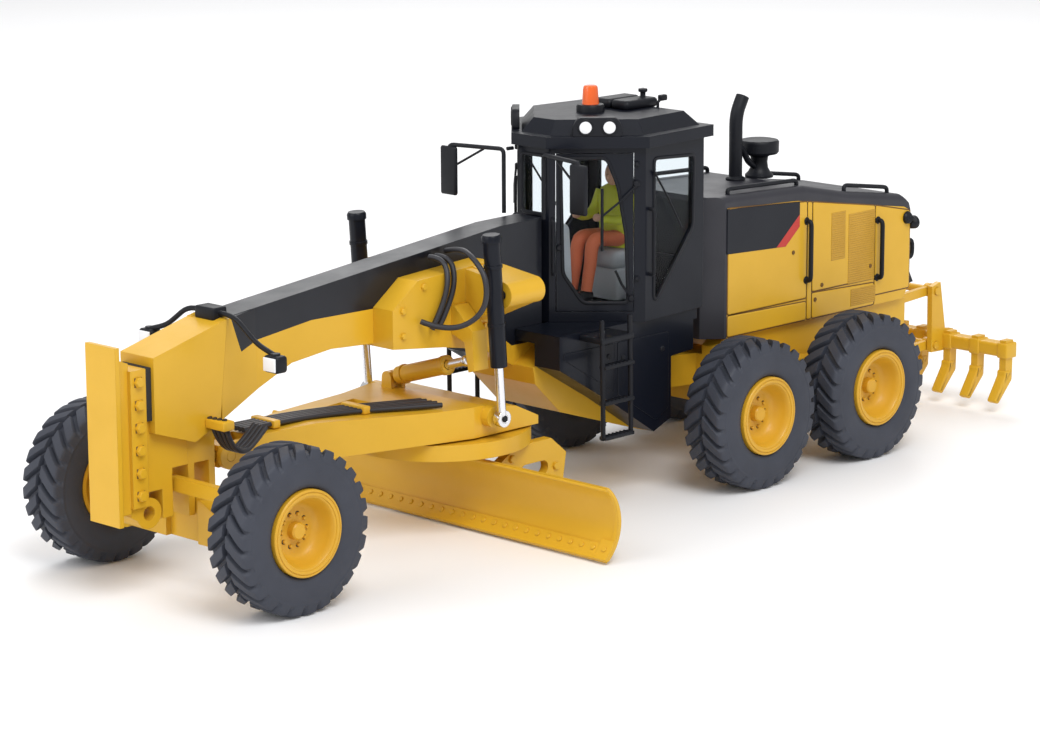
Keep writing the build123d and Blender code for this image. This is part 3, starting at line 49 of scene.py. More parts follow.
# The frame's own measures, in metres
MM = 0.001
TANDEM_X = -0.0405            # the tandem's pivot; the lengths below are forward of it, in mm
SIDES = (1, -1)               # left, right
UP = (0, 0, 1)
TYRE_R = 14.0
WHEELBASE = 131.0
BOGIE = 16.4                  # from the tandem's pivot to each of its wheels
WHEEL_Y = 24.0
CAB_PLAN = [(49.0, -3.8), (49.0, 3.8), (36.5, 16.0), (19.0, 14.5), (19.0, -14.5), (36.5, -16.0)]
HOOD_SIDE = 13.2
HOOD_REAR = -44.5
BLADE_AXIS = (80.561, 7.1)    # the middle of the moldboard's curve, forward and up
LIFT_Y = 17.0
LIFT_EYE = (74.6, 21.6)
LIFT_TRUNNION = (76.2, 43.5)
SHIFT_FOOT = (76.0, -9.0, 25.4)
SHIFT_EYE = (76.0, 9.6, 31.0)


def place(points):
    """Lengths in mm forward of the tandem, left and up, as metres in the model's frame."""
    out = np.asarray(points, float) * MM
    out[..., 0] += TANDEM_X
    return out


# Surfaces: each is an array of points and the quads that join them

def quads_of(rows, columns, wrap):
    """Cell (i, j) joins points (i, j), (i, j+1), (i+1, j+1) and (i+1, j); the last column joins the
    first where the surface wraps."""
    i, j = np.meshgrid(np.arange(rows - 1), np.arange(columns if wrap else columns - 1), indexing="ij")
    k = (j + 1) % columns
    corners = [i * columns + j, i * columns + k, (i + 1) * columns + k, (i + 1) * columns + j]
    return np.stack(corners, -1).reshape(-1, 4)


def sheet_of(points, wrap=True):
    """The surface through a grid of points, rows by columns."""
    rows, columns = points.shape[:2]
    return points.reshape(-1, 3), quads_of(rows, columns, wrap)


def turned(centre, axis, profile, sides=24, start=0.0):
    """A profile of (radius, distance along the axis) turned about the axis: the point at angle a is
    centre + distance * axis + radius * (cos a * u + sin a * v), with u, v and the axis square."""
    w = np.array(axis, float) / np.linalg.norm(axis)
    u = np.cross(w, (0.0, 0.0, 1.0) if abs(w[2]) < 0.9 else (1.0, 0.0, 0.0))
    u /= np.linalg.norm(u)
    v = np.cross(w, u)
    r, h = np.array(profile, float).T
    a = start + np.arange(sides) * 2 * np.pi / sides
    ring = np.cos(a)[:, None] * u + np.sin(a)[:, None] * v
    points = np.array(centre) + h[:, None, None] * w + r[:, None, None] * ring
    return sheet_of(points)


def curve_through(points, steps=8):
    """A Catmull-Rom curve through the points: between two of them it is the cubic whose slope at each
    is half the way from the point before to the point after."""
    p = np.array(points, float)
    p = np.vstack([2 * p[0] - p[1], p, 2 * p[-1] - p[-2]])
    t = np.linspace(0, 1, steps, endpoint=False)[:, None]
    a, b, c, d = p[:-3, None], p[1:-2, None], p[2:-1, None], p[3:, None]
    square, cube = 2 * a - 5 * b + 4 * c - d, 3 * b - a - 3 * c + d
    run = 0.5 * (2 * b + (c - a) * t + square * t ** 2 + cube * t ** 3)
    return np.vstack([run.reshape(-1, 3), p[-2]])


def tube(path, radius, sides=12, rings=None):
    """A round tube: ring k lies square to the path at its point k, and each end closes to a point. Rings
    given as (point of the path, radius) make other forms, such as a hollow mouth."""
    p = np.array(path, float)
    run = np.gradient(p, axis=0)
    run /= np.linalg.norm(run, axis=1, keepdims=True)
    first = np.cross(run[0], (0.0, 0.0, 1.0) if abs(run[0][2]) < 0.9 else (1.0, 0.0, 0.0))
    sides_out = [first / np.linalg.norm(first)]
    for k in range(1, len(p)):
        u = sides_out[-1] - run[k] * np.dot(sides_out[-1], run[k])
        sides_out.append(u / np.linalg.norm(u))
    u = np.array(sides_out)
    v = np.cross(run, u)
    radii = np.broadcast_to(radius, len(p))
    if rings is None:
        rings = [(0, 0.0)] + list(enumerate(radii)) + [(len(p) - 1, 0.0)]
    at = np.array([k for k, size in rings])
    r = np.array([size for k, size in rings])[:, None, None]
    a = np.arange(sides) * 2 * np.pi / sides
    out = np.cos(a)[:, None] * u[at][:, None] + np.sin(a)[:, None] * v[at][:, None]
    return sheet_of(p[at][:, None] + r * out)


def rounded(outline, size, n=4):
    """An outline with soft corners: each is the parabola (1-s)^2 A + 2 s (1-s) P + s^2 B, from the point A
    that is a size before the corner P to the point B that is a size after it, or 0.45 of the side."""
    p = np.array(outline, float)
    back, on = np.roll(p, 1, 0) - p, np.roll(p, -1, 0) - p
    a, b = (p + way * np.minimum(size / np.linalg.norm(way, axis=1), 0.45)[:, None] for way in (back, on))
    s = np.linspace(0, 1, n)[None, :, None]
    curve = (1 - s) ** 2 * a[:, None] + 2 * s * (1 - s) * p[:, None] + s * s * b[:, None]
    return curve.reshape(-1, p.shape[1])


def bent(points, size, n=5):
    """An open path with soft corners, its ends kept."""
    p = np.array(points, float)
    return np.vstack([p[:1], rounded(p, size, n)[n:-n], p[-1:]])


def rod(stops, size, radius):
    """A round tube along an open path with soft corners."""
    return tube(bent(stops, size), radius)


def bar(rings):
    """A solid through rings of points, its ends closed to their middles."""
    rings = np.array(rings, float)
    mids = [np.repeat(ring.mean(0)[None], len(ring), 0) for ring in (rings[0], rings[-1])]
    return sheet_of(np.stack([mids[0], *rings, mids[1]]))


def grown(outline, by):
    """An outline whose sides are moved outward: each corner moves along the sum of its two sides' normals,
    divided by one plus their product."""
    p = np.array(outline, float)
    on = np.roll(p, -1, 0) - p
    turn = 1.0 if (p[:, 0] * np.roll(p[:, 1], -1) - np.roll(p[:, 0], -1) * p[:, 1]).sum() > 0 else -1.0
    normal = turn * np.stack([on[:, 1], -on[:, 0]], -1) / np.linalg.norm(on, axis=1, keepdims=True)
    before = np.roll(normal, 1, 0)
    return p + by * (before + normal) / (1 + (before * normal).sum(1, keepdims=True))


# Planes: an origin, then the directions along, up and out

def side_of(s, y):
    """An upright plane beside the machine, facing out at a distance from its middle."""
    return (0, s * y, 0), ((1, 0, 0), (0, 0, 1), (0, s, 0))


def wall(i):
    """The outer plane of one cab wall, along it and up, as the walls' outlines are given."""
    (x0, y0), (x1, y1) = CAB_PLAN[i], CAB_PLAN[(i + 1) % 6]
    run = np.array((x1 - x0, y1 - y0)) / math.dist((x0, y0), (x1, y1))
    return (x0, y0, 0), ((run[0], run[1], 0), (0, 0, 1), (run[1], -run[0], 0))


def lay(plane, outline, out):
    """An outline of a plane at a height over it, as points forward, left and up."""
    flat = np.array(outline, float)
    points = np.concatenate([flat, np.full((len(flat), 1), float(out))], 1)
    return np.array(plane[0], float) + points @ np.array(plane[1], float)


def slab(plane, outline, back, face, edge=0.1):
    """A plate: the outline at its back and near its face, drawn in by the edge at the face, and both ends
    closed to the outline's middle."""
    p = np.array(outline, float)
    mid = np.repeat(p.mean(0)[None], len(p), 0)
    steps = [(mid, back), (p, back), (p, face - edge), (grown(p, -0.3 * edge), face - 0.3 * edge),
             (grown(p, -edge), face), (grown(p, -2 * edge), face), (mid, face)]
    return sheet_of(np.stack([lay(plane, ring, out) for ring, out in steps]))


def moulding(plane, outline, profile):
    """A strip round an outline: for each (outward, height) of the profile, the outline grown by the first
    and laid at the second; the last joins the first."""
    rings = [lay(plane, grown(outline, out), high) for out, high in profile]
    return sheet_of(np.stack(rings + rings[:1]))


def disc(centre, axis, radius, high, edge=0.1, sides=24):
    """A flat button: a turned profile with a worn edge."""
    profile = [(0, 0), (radius, 0), (radius, high - edge), (radius - edge, high), (0, high)]
    return turned(centre, axis, profile, sides)


def ball(centre, radii, rows=12, sides=18):
    """An ellipsoid: latitude circles scaled by the three radii."""
    lat = np.linspace(-np.pi / 2, np.pi / 2, rows)[:, None]
    lon = np.arange(sides) * 2 * np.pi / sides
    ring = np.stack([np.cos(lat) * np.cos(lon), np.cos(lat) * np.sin(lon), np.sin(lat) + 0 * lon], -1)
    return sheet_of(np.array(centre) + ring * np.array(radii))


def loft(stations, power=2.6, sides=20):
    """A body through level rings: at each (forward, left, up, half length, half width) the ring is the
    superellipse |cos|^(2/p), |sin|^(2/p) of those halves, and the ends close."""
    a = np.arange(sides) * 2 * np.pi / sides
    c = np.sign(np.cos(a)) * np.abs(np.cos(a)) ** (2 / power)
    d = np.sign(np.sin(a)) * np.abs(np.sin(a)) ** (2 / power)
    rows = [(*stations[0][:3], 0, 0), *stations, (*stations[-1][:3], 0, 0)]
    x, y, z, h, w = np.array(rows, float).T[..., None]
    return sheet_of(np.stack([x + h * c, y + w * d, z + 0 * c], -1))


def block(low, high, edge=0.2, turn=None, n=3):
    """A box with round edges: a small sphere whose eighths are pushed out to the eight corners, turned
    by a matrix about its middle where one is given."""
    low, high = np.minimum(low, high).astype(float), np.maximum(low, high).astype(float)
    edge = min(edge, 0.499 * (high - low).min())
    half = (high - low) / 2 - edge
    quarter = np.linspace(0, np.pi / 2, n + 1)
    lon = np.concatenate([quarter + k * np.pi / 2 for k in range(4)])
    lat = np.concatenate([quarter - np.pi / 2, quarter])
    sx = np.repeat([1, -1, -1, 1], n + 1)
    sy = np.repeat([1, 1, -1, -1], n + 1)
    sz = np.repeat([-1, 1], n + 1)
    x = half[0] * sx + edge * np.cos(lat)[:, None] * np.cos(lon)
    y = half[1] * sy + edge * np.cos(lat)[:, None] * np.sin(lon)
    z = np.broadcast_to((half[2] * sz + edge * np.sin(lat))[:, None], x.shape)
    rows = np.stack([x, y, z], -1)
    ends = [np.zeros_like(rows[:1]) + (0, 0, rows[k, 0, 2]) for k in (0, -1)]
    points = np.concatenate([ends[0], rows, ends[1]])
    if turn is not None:
        points = points @ turn.T
    return sheet_of(points + (low + high) / 2)


def turn_about(axis, degrees):
    """The turn by an angle about an axis given by its letter, as a matrix."""
    return np.array(Matrix.Rotation(math.radians(degrees), 3, axis))


def bolt(centre, axis, across, high):
    """A hexagon head: a six-sided profile with a worn top edge."""
    r = across / math.sqrt(3)
    return turned(centre, axis, [(0, 0), (r, 0), (r, 0.75 * high), (0.86 * r, high), (0, high)], 6)


def mirrored(surface):
    """The same surface on the machine's other side, its quads wound the other way."""
    points, quads = surface
    return points * (1, -1, 1), quads[:, ::-1]


def both_sides(surfaces):
    """The surfaces, then each again on the machine's other side."""
    return surfaces + [mirrored(s) for s in surfaces]


def make(name, parts, body, sharp=35.0, replaces=()):
    """One piece from surfaces in mm, as pairs of a finish and its surfaces: poles and seams are merged, and
    edges over the angle stay sharp."""
    surfaces = [(surface, k) for k, (finish_name, group) in enumerate(parts) for surface in group]
    starts = np.cumsum([0] + [len(surface[0]) for surface, k in surfaces])
    points = place(np.concatenate([surface[0] for surface, k in surfaces]))
    quads = np.concatenate([surface[1] + first for (surface, k), first in zip(surfaces, starts)])
    mesh = bpy.data.meshes.new(name)
    mesh.from_pydata(points, [], quads)
    for finish_name, group in parts:
        mesh.materials.append(MATERIALS[finish_name])
    mesh.polygons.foreach_set("material_index", np.repeat(
        [k for surface, k in surfaces], [len(surface[1]) for surface, k in surfaces]))
    tidy = bmesh.new()
    tidy.from_mesh(mesh)
    bmesh.ops.remove_doubles(tidy, verts=tidy.verts, dist=1e-7)
    bmesh.ops.dissolve_degenerate(tidy, edges=tidy.edges, dist=1e-8)
    bmesh.ops.recalc_face_normals(tidy, faces=tidy.faces)
    tidy.to_mesh(mesh)
    tidy.free()
    mesh.shade_smooth()
    mesh.set_sharp_from_angle(angle=math.radians(sharp))
    obj = bpy.data.objects.new(name, mesh)
    bpy.context.scene.collection.objects.link(obj)
    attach(obj, body)
    if replaces:
        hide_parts(*replaces)


# Node groups that several finishes share

def new_group(name, inputs, outputs):
    """An empty shader group with its sockets: inputs as (name, type, default), outputs as (name, type)."""
    group = bpy.data.node_groups.new(name, "ShaderNodeTree")
    for label, kind, default in inputs:
        socket = group.interface.new_socket(label, in_out="INPUT", socket_type="NodeSocket" + kind)
        socket.default_value = default
    for label, kind in outputs:
        group.interface.new_socket(label, in_out="OUTPUT", socket_type="NodeSocket" + kind)
    return group, group.nodes.new("NodeGroupInput"), group.nodes.new("NodeGroupOutput")


def add(tree, kind, settings=None, **values):
    """A node with its plain settings, then its input sockets by name."""
    node = tree.nodes.new("ShaderNode" + kind)
    for key, value in (settings or {}).items():
        setattr(node, key, value)
    for key, value in values.items():
        node.inputs[key.replace("_", " ")].default_value = value
    return node


def wire(tree, *links):
    """Join sockets: each link is a node, its output, another node and its input."""
    for source, output, target, entry in links:
        tree.links.new(source.outputs[output], target.inputs[entry])


def shade_group():
    """Soft patches and fine grain over a colour: the patches darken it a little and roughen it."""
    inputs = [("Color", "Color", (0.5, 0.5, 0.5, 1)), ("Patch", "Float", 0.08), ("Scale", "Float", 120.0),
              ("Rough", "Float", 0.35), ("Rough Spread", "Float", 0.12)]
    outputs = [("Color", "Color"), ("Roughness", "Float"), ("Height", "Float")]
    group, values, out = new_group("soft_shade", inputs, outputs)
    where = add(group, "TexCoord")
    wide = add(group, "TexNoise", Detail=4.0, Roughness=0.6)
    fine = add(group, "TexNoise", Scale=2600.0, Detail=3.0, Roughness=0.6)
    spread = add(group, "MapRange", {}, From_Min=0.35, From_Max=0.7)
    amount = add(group, "Math", {"operation": "MULTIPLY"})
    dark = add(group, "MixRGB", {"blend_type": "MULTIPLY"}, Color2=(0.35, 0.3, 0.25, 1))
    rough = add(group, "Math", {"operation": "MULTIPLY_ADD"})
    wire(group, (where, "Object", wide, "Vector"), (where, "Object", fine, "Vector"),
         (values, "Scale", wide, "Scale"), (wide, "Fac", spread, "Value"), (spread, "Result", amount, 0),
         (values, "Patch", amount, 1), (amount, 0, dark, "Fac"), (values, "Color", dark, "Color1"),
         (spread, "Result", rough, 0), (values, "Rough Spread", rough, 1), (values, "Rough", rough, 2),
         (dark, "Color", out, "Color"), (rough, 0, out, "Roughness"), (fine, "Fac", out, "Height"))
    return group


GROUPS = {}


def shade():
    """The shade's group, made at its first use."""
    if "shade" not in GROUPS:
        GROUPS["shade"] = shade_group()
    return GROUPS["shade"]


def finish(name, color, rough=0.35, patch=0.08, spread=0.12, grain=0.04, edge=0.00018, metal=0.0, coat=0.0,
           color_from=None, **sockets):
    """A finish: the shared shade over a colour, worked into the Principled shader, with the grain and
    softened edges in its normal."""
    material = bpy.data.materials.new(name)
    material.use_nodes = True
    tree = material.node_tree
    shader = tree.nodes["Principled BSDF"]
    group = tree.nodes.new("ShaderNodeGroup")
    group.node_tree = shade()
    group.inputs["Color"].default_value = (*color, 1)
    group.inputs["Patch"].default_value = patch
    group.inputs["Rough"].default_value = rough
    group.inputs["Rough Spread"].default_value = spread
    bump = add(tree, "Bump", Strength=grain, Distance=0.0002)
    soft = add(tree, "Bevel", {"samples": 4}, Radius=edge)
    shader.inputs["Metallic"].default_value = metal
    shader.inputs["Coat Weight"].default_value = coat
    shader.inputs["Coat Roughness"].default_value = 0.12
    for key, value in sockets.items():
        shader.inputs[key.replace("_", " ")].default_value = value
    if color_from:
        tree.links.new(color_from(tree), group.inputs["Color"])
    wire(tree, (group, "Color", shader, "Base Color"), (group, "Roughness", shader, "Roughness"),
         (group, "Height", bump, "Height"), (soft, "Normal", bump, "Normal"),
         (bump, "Normal", shader, "Normal"))
    return material


YELLOW = (0.69, 0.395, 0.022)
BLACK = (0.006, 0.0075, 0.013)
RED = (0.52, 0.045, 0.035)
RUBBER = (0.036, 0.041, 0.058)

# The black paint's lower edge on the gooseneck: length forward and height, in mm
NECK_PAINT = [
    (58.0, 30.0), (62.0, 33.0), (65.0, 43.8), (75.0, 44.9), (81.7, 44.2), (84.9, 41.7), (106.4, 41.9),
    (118.5, 40.4), (122.6, 39.0), (124.9, 44.9),
]


def neck_colours(tree):
    """Black where a point is higher than the paint's edge at its length, and yellow elsewhere and in front
    of the edge's end. The curve holds the heights in tenths of a metre."""
    where = add(tree, "TexCoord")
    split = add(tree, "SeparateXYZ")
    start, stop = NECK_PAINT[0][0], NECK_PAINT[-1][0]
    along = add(tree, "MapRange", {}, From_Min=TANDEM_X + start * MM, From_Max=TANDEM_X + stop * MM)
    edge = add(tree, "FloatCurve")
    curve = edge.mapping.curves[0]
    knots = [((x - start) / (stop - start), z / 100) for x, z in NECK_PAINT]
    curve.points[0].location, curve.points[1].location = knots[0], knots[-1]
    for knot in knots[1:-1]:
        curve.points.new(*knot)
    for point in curve.points:
        point.handle_type = "VECTOR"
    edge.mapping.update()
    high = add(tree, "Math", {"operation": "MULTIPLY"})
    high.inputs[1].default_value = 10.0
    over = add(tree, "Math", {"operation": "GREATER_THAN"})
    behind = add(tree, "Math", {"operation": "LESS_THAN"})
    behind.inputs[1].default_value = TANDEM_X + stop * MM
    both = add(tree, "Math", {"operation": "MULTIPLY"})
    pick = add(tree, "MixRGB", Color1=(*given().yellow, 1), Color2=(*given().black, 1))
    wire(tree, (where, "Object", split, 0), (split, "X", along, "Value"), (along, "Result", edge, "Value"),
         (split, "Z", high, 0), (high, 0, over, 0), (edge, "Value", over, 1), (split, "X", behind, 0),
         (over, 0, both, 0), (behind, 0, both, 1), (both, 0, pick, "Fac"))
    return pick.outputs["Color"]


def panel_colours(tree):
    """Red behind and below the stripe's front edge on the hood's panel, and black elsewhere: of a point's
    length x and height z, (x - x0)(z1 - z0) - (z - z0)(x1 - x0) changes its sign at the edge."""
    (x0, z0), (x1, z1) = (place((x, 0, z))[[0, 2]] for x, z in STRIPE)
    where = add(tree, "TexCoord")
    split = add(tree, "SeparateXYZ")
    ahead = add(tree, "Math", {"operation": "MULTIPLY_ADD"})
    ahead.inputs[1].default_value = z1 - z0
    ahead.inputs[2].default_value = -x0 * (z1 - z0) + z0 * (x1 - x0)
    high = add(tree, "Math", {"operation": "MULTIPLY_ADD"})
    high.inputs[1].default_value = -(x1 - x0)
    below = add(tree, "Math", {"operation": "GREATER_THAN"})
    below.inputs[1].default_value = 0.0
    pick = add(tree, "MixRGB", Color1=(*given().black, 1), Color2=(*given().stripe, 1))
    wire(tree, (where, "Object", split, 0), (split, "X", ahead, 0), (split, "Z", high, 0),
         (ahead, 0, high, 2), (high, 0, below, 0), (below, 0, pick, "Fac"))
    return pick.outputs["Color"]


def glass_finish():
    """Clear window plastic with a faint grey tint."""
    material = bpy.data.materials.new("window_plastic")
    material.use_nodes = True
    shader = material.node_tree.nodes["Principled BSDF"]
    shader.inputs["Base Color"].default_value = (0.86, 0.9, 0.92, 1)
    shader.inputs["Roughness"].default_value = 0.03
    shader.inputs["IOR"].default_value = 1.12
    shader.inputs["Transmission Weight"].default_value = 1.0
    return material


MATERIALS = {}


def build_materials():
    """Every finish of the model, by its plain name."""
    enamel = dict(coat=0.12, grain=0.03, Specular_IOR_Level=0.35)
    MATERIALS.update(
        yellow=finish("yellow_enamel", given().yellow, 0.34, **enamel),
        neck=finish("neck_enamel", given().yellow, 0.34, color_from=neck_colours, **enamel),
        rim=finish("rim_enamel", (0.66, 0.36, 0.022), 0.38, 0.12, coat=0.1, edge=0.00012,
                   Specular_IOR_Level=0.35),
        black=finish("black_enamel", given().black, 0.28, 0.1, coat=0.12, Specular_IOR_Level=0.15),
        cap=finish("black_cap_enamel", (0.022, 0.022, 0.03), 0.42, 0.1),
        plastic=finish("black_plastic", (0.009, 0.01, 0.014), 0.4, 0.15, grain=0.08, Specular_IOR_Level=0.22),
        hose=finish("hose_rubber", (0.02, 0.02, 0.026), 0.42, 0.1, edge=0.00005),
        rubber=finish("tyre_rubber", given().rubber, 0.62, 0.2, 0.1, grain=0.1, edge=0.00008),
        chrome=finish("chrome_rod", (0.78, 0.78, 0.8), 0.14, 0.04, 0.06, metal=1.0),
        glass=glass_finish(),
        beacon=finish("beacon_orange", (0.9, 0.13, 0.01), 0.2, coat=0.5, edge=0.00006),
        lamp=finish("lamp_lens", (0.82, 0.83, 0.86), 0.15, 0.05, coat=0.6, edge=0.00004),
        red=finish("red_lens", (0.5, 0.03, 0.025), 0.2, coat=0.4),
        panel=finish("panel_enamel", given().black, 0.3, coat=0.15, grain=0.03, color_from=panel_colours,
                     Specular_IOR_Level=0.2),
        shadow=finish("deep_shadow", (0.02, 0.02, 0.022), 0.7, 0.1),
        seat=finish("seat_grey", (0.5, 0.51, 0.53), 0.6, 0.12, grain=0.08),
        sleeve=finish("shirt_yellow", (0.6, 0.62, 0.03), 0.55, grain=0.1),
        trousers=finish("trousers_orange", (0.72, 0.16, 0.06), 0.6, grain=0.1),
        skin=finish("figure_skin", (0.6, 0.33, 0.21), 0.5),
        # Yellow in deep shade: painted shade for the gaps round the hood's doors, the latch recesses and
        # round the front strip's bolts
        seam=finish("seam_shadow", (0.16, 0.075, 0.012), 0.6, 0.2),
        # Yellow a little darker: painted shade for the recesses of the hood's grilles
        grille=finish("grille_painted_shade", (0.55, 0.3, 0.022), 0.5, 0.2),
    )


# Which finish each CAD node shows
NODE_FINISHES = {
    "neck": ("front_frame",),
    "yellow": (
        "front_plate", "head_column", "engine_hood", "rear_frame", "drawbar", "circle", "blade_arms",
        "moldboard", "front_axle", "lean_bracket_left", "lean_bracket_right", "lean_bar", "knuckle_left",
        "knuckle_right", "drawbar_pivot", "lift_yoke", "shift_bracket", "shift_barrel", "ripper_link_lower",
        "ripper_link_upper", "ripper_carriage", "tandem_left", "tandem_right",
    ),
    "cap": ("hood_cover",),
    "black": ("cab_frame", "cab_doors", "cab_roof", "cab_base", "lift_barrel_left", "lift_barrel_right"),
    "plastic": ("cab_steps", "exhaust_stack", "air_precleaner", "roof_fittings", "mirrors", "front_lamps",
                "hood_fittings"),
    "rim": tuple(n for n in NODES if n.startswith("rim_")),
    "rubber": tuple(n for n in NODES if n.startswith("tyre_")),
    "hose": ("drawbar_hoses", "nose_hoses", "yoke_hoses"),
    "chrome": ("lift_rod_left", "lift_rod_right", "shift_rod"),
    "glass": ("cab_glass",),
    "beacon": ("beacon",),
    "seat": ("cab_interior",),
    "sleeve": ("operator_figure",),
}


def colour_value(name, what, value):
    """A colour that the dressing is given."""
    return bpy.props.FloatVectorProperty(name=name, description=what, subtype="COLOR", size=3, min=0, max=1,
                                         default=value)


def length_value(name, what, value):
    """A length in metres that the dressing is given."""
    return bpy.props.FloatProperty(name=name, description=what, unit="LENGTH", default=value)


class Fittings(bpy.types.PropertyGroup):
    """Sizes and colours that the dressing is made from."""
    yellow: colour_value("Yellow", "Colour of the yellow enamel", YELLOW)
    black: colour_value("Black", "Colour of the black enamel", BLACK)
    stripe: colour_value("Stripe", "Colour of the hood panel's stripe", RED)
    rubber: colour_value("Rubber", "Colour of the tyres", RUBBER)
    lug_count: bpy.props.IntProperty(name="Lugs", description="Lugs on each half of the tread", default=26)
    lug_slant: length_value("Lug slant", "Turn of each end of a lug along the tread", 0.0018)
    hose_size: length_value("Hose size", "Radius of the hoses along the drawbar", 0.00045)
    door_rise: length_value("Door rise", "How far the hood's doors stand proud", 0.00016)


def given():
    """The values that the scene holds for the dressing."""
    return bpy.context.scene.grader_fittings


class GRADER_OT_finishes(bpy.types.Operator):
    """Give every CAD node its finish"""
    bl_idname = "grader.finishes"
    bl_label = "Finishes"

    def execute(self, context):
        build_materials()
        for key, names in NODE_FINISHES.items():
            for name in names:
                mesh = NODES[name].data
                mesh.materials.clear()
                mesh.materials.append(MATERIALS[key])
        return {"FINISHED"}


# Where the photograph's camera stood: its place in metres, its directions right and up, and its focal
# length in pixels of a picture 1040 pixels across
CAMERA_AT = Vector((0.45089, 0.43015, 0.15923))
CAMERA_RIGHT = Vector((-0.69947791, 0.71464212, -0.0041593))
CAMERA_UP = Vector((-0.15626654, -0.14726632, 0.97667466))
FOCAL, ACROSS = 3452.8, 1040
SENSOR = 36.0
LIGHTS = [
    # name, place, size, power, aim
    ("key", (0.25, 0.55, 0.75), 0.5, 5.5, (0, 0, 0.02)),
    ("fill", (0.7, -0.2, 0.45), 0.6, 2.2, (0, 0, 0.03)),
    ("rim_light", (-0.5, -0.5, 0.6), 0.5, 2.5, (0, 0, 0.03)),
]
FLOOR_HALF = 4.0
FLOOR_DROP = 0.00002


class GRADER_OT_stage(bpy.types.Operator):
    """Floor, lights, sky and camera"""
    bl_idname = "grader.stage"
    bl_label = "Stage"

    def execute(self, context):
        scene = context.scene
        scene.view_settings.view_transform = "Standard"
        floor_stage()
        sky()
        camera = bpy.data.objects.new("camera", bpy.data.cameras.new("camera"))
        camera.data.sensor_width = SENSOR
        camera.data.lens = SENSOR * FOCAL / ACROSS
        turn = Matrix((CAMERA_RIGHT, CAMERA_UP, CAMERA_RIGHT.cross(CAMERA_UP))).transposed()
        camera.matrix_world = Matrix.Translation(CAMERA_AT) @ turn.to_4x4()
        camera.data.clip_start = 0.01
        scene.collection.objects.link(camera)
        scene.camera = camera
        for name, spot, size, power, aim in LIGHTS:
            lamp = bpy.data.objects.new(name, bpy.data.lights.new(name, "AREA"))
            lamp.data.size = size
            lamp.data.energy = power
            lamp.location = spot
            lamp.rotation_euler = (Vector(aim) - Vector(spot)).to_track_quat("-Z", "Y").to_euler()
            scene.collection.objects.link(lamp)
        return {"FINISHED"}


def sky():
    """White to the camera, and a soft grey light on the model and in its mirrors."""
    world = bpy.data.worlds.new("sky")
    world.use_nodes = True
    tree = world.node_tree
    light = tree.nodes["Background"]
    light.inputs["Color"].default_value = (1, 1, 1, 1)
    ray = tree.nodes.new("ShaderNodeLightPath")
    strength = tree.nodes.new("ShaderNodeMapRange")
    strength.inputs["To Min"].default_value = 0.62
    strength.inputs["To Max"].default_value = 1.0
    wire(tree, (ray, "Is Camera Ray", strength, "Value"), (strength, "Result", light, "Strength"))
    bpy.context.scene.world = world


def floor_stage():
    """A wide pale floor just under the tyres."""
    mesh = bpy.data.meshes.new("floor")
    corners = [(x * FLOOR_HALF, y * FLOOR_HALF, 0) for x, y in ((-1, -1), (1, -1), (1, 1), (-1, 1))]
    mesh.from_pydata(corners, [], [(0, 1, 2, 3)])
    material = bpy.data.materials.new("pale_floor")
    material.use_nodes = True
    shader = material.node_tree.nodes["Principled BSDF"]
    shader.inputs["Base Color"].default_value = (0.93, 0.93, 0.94, 1)
    shader.inputs["Roughness"].default_value = 0.6
    mesh.materials.append(material)
    floor = bpy.data.objects.new("floor", mesh)
    floor.location.z = -FLOOR_DROP
    bpy.context.scene.collection.objects.link(floor)


# Wheels

LUG_HIGH = 0.95
PER_LUG = 18    # columns of points to a lug and its gap
LUG_END = 4.4   # the slant is full at this distance from the middle
TYRE_SECTION = [
    # distance from the middle, radius, share of the lug's height
    (-3.9, 7.36, 0), (-4.4, 7.7, 0), (-4.55, 8.1, 0), (-4.74, 8.6, 0), (-4.8, 9.4, 0), (-4.78, 10.4, 0),
    (-4.7, 11.4, 0), (-4.62, 11.75, 0), (-4.66, 11.85, 0), (-4.62, 12.05, 0), (-4.52, 12.1, 0.3),
    (-4.42, 12.35, 0.75), (-4.3, 12.6, 1.0), (-4.1, 12.8, 1.0), (-3.7, 12.93, 1.0), (-3.2, 12.97, 1.0),
    (-2.6, 13.0, 1.0), (-2.0, 13.0, 1.0), (-1.4, 13.0, 1.0), (-0.8, 13.0, 1.0), (-0.42, 13.0, 1.0),
    (-0.3, 13.0, 0.0), (0.0, 13.0, 0.0),
]


def tyre_surface(lugs, slant):
    """A tyre about the Y axis at the origin, in mm. Across it runs the section: bead, sidewall, tread and
    back. Around it run the columns, each turned along the tread as far as the lugs slant at its place, so
    that the lugs' edges lie on grid lines. A lug has steep sides, and each half of the tread has its own."""
    section = np.array(TYRE_SECTION)
    section = np.vstack([section, section[-2::-1] * (-1, 1, 1)])
    y, radius, raised = section.T
    lug = np.interp(np.arange(PER_LUG) / PER_LUG, [0.0, 0.11, 0.2, 0.8, 0.89, 1.0], [0, 0, 1, 1, 0, 0])
    around = np.tile(lug, lugs)
    left, right = np.roll(around, PER_LUG // 4), np.roll(around, -PER_LUG // 4)
    height = LUG_HIGH * np.where(y[:, None] > 0, left, right) * raised[:, None]
    turn = np.arange(lugs * PER_LUG) * 2 * np.pi / (lugs * PER_LUG)
    swing = (0.5 - np.clip(np.abs(y), 0, LUG_END) / LUG_END) * 2 * slant / TYRE_R
    angle = turn[None] + swing[:, None]
    r = radius[:, None] + height
    return np.stack([r * np.cos(angle), np.broadcast_to(y[:, None], r.shape), r * np.sin(angle)], -1)


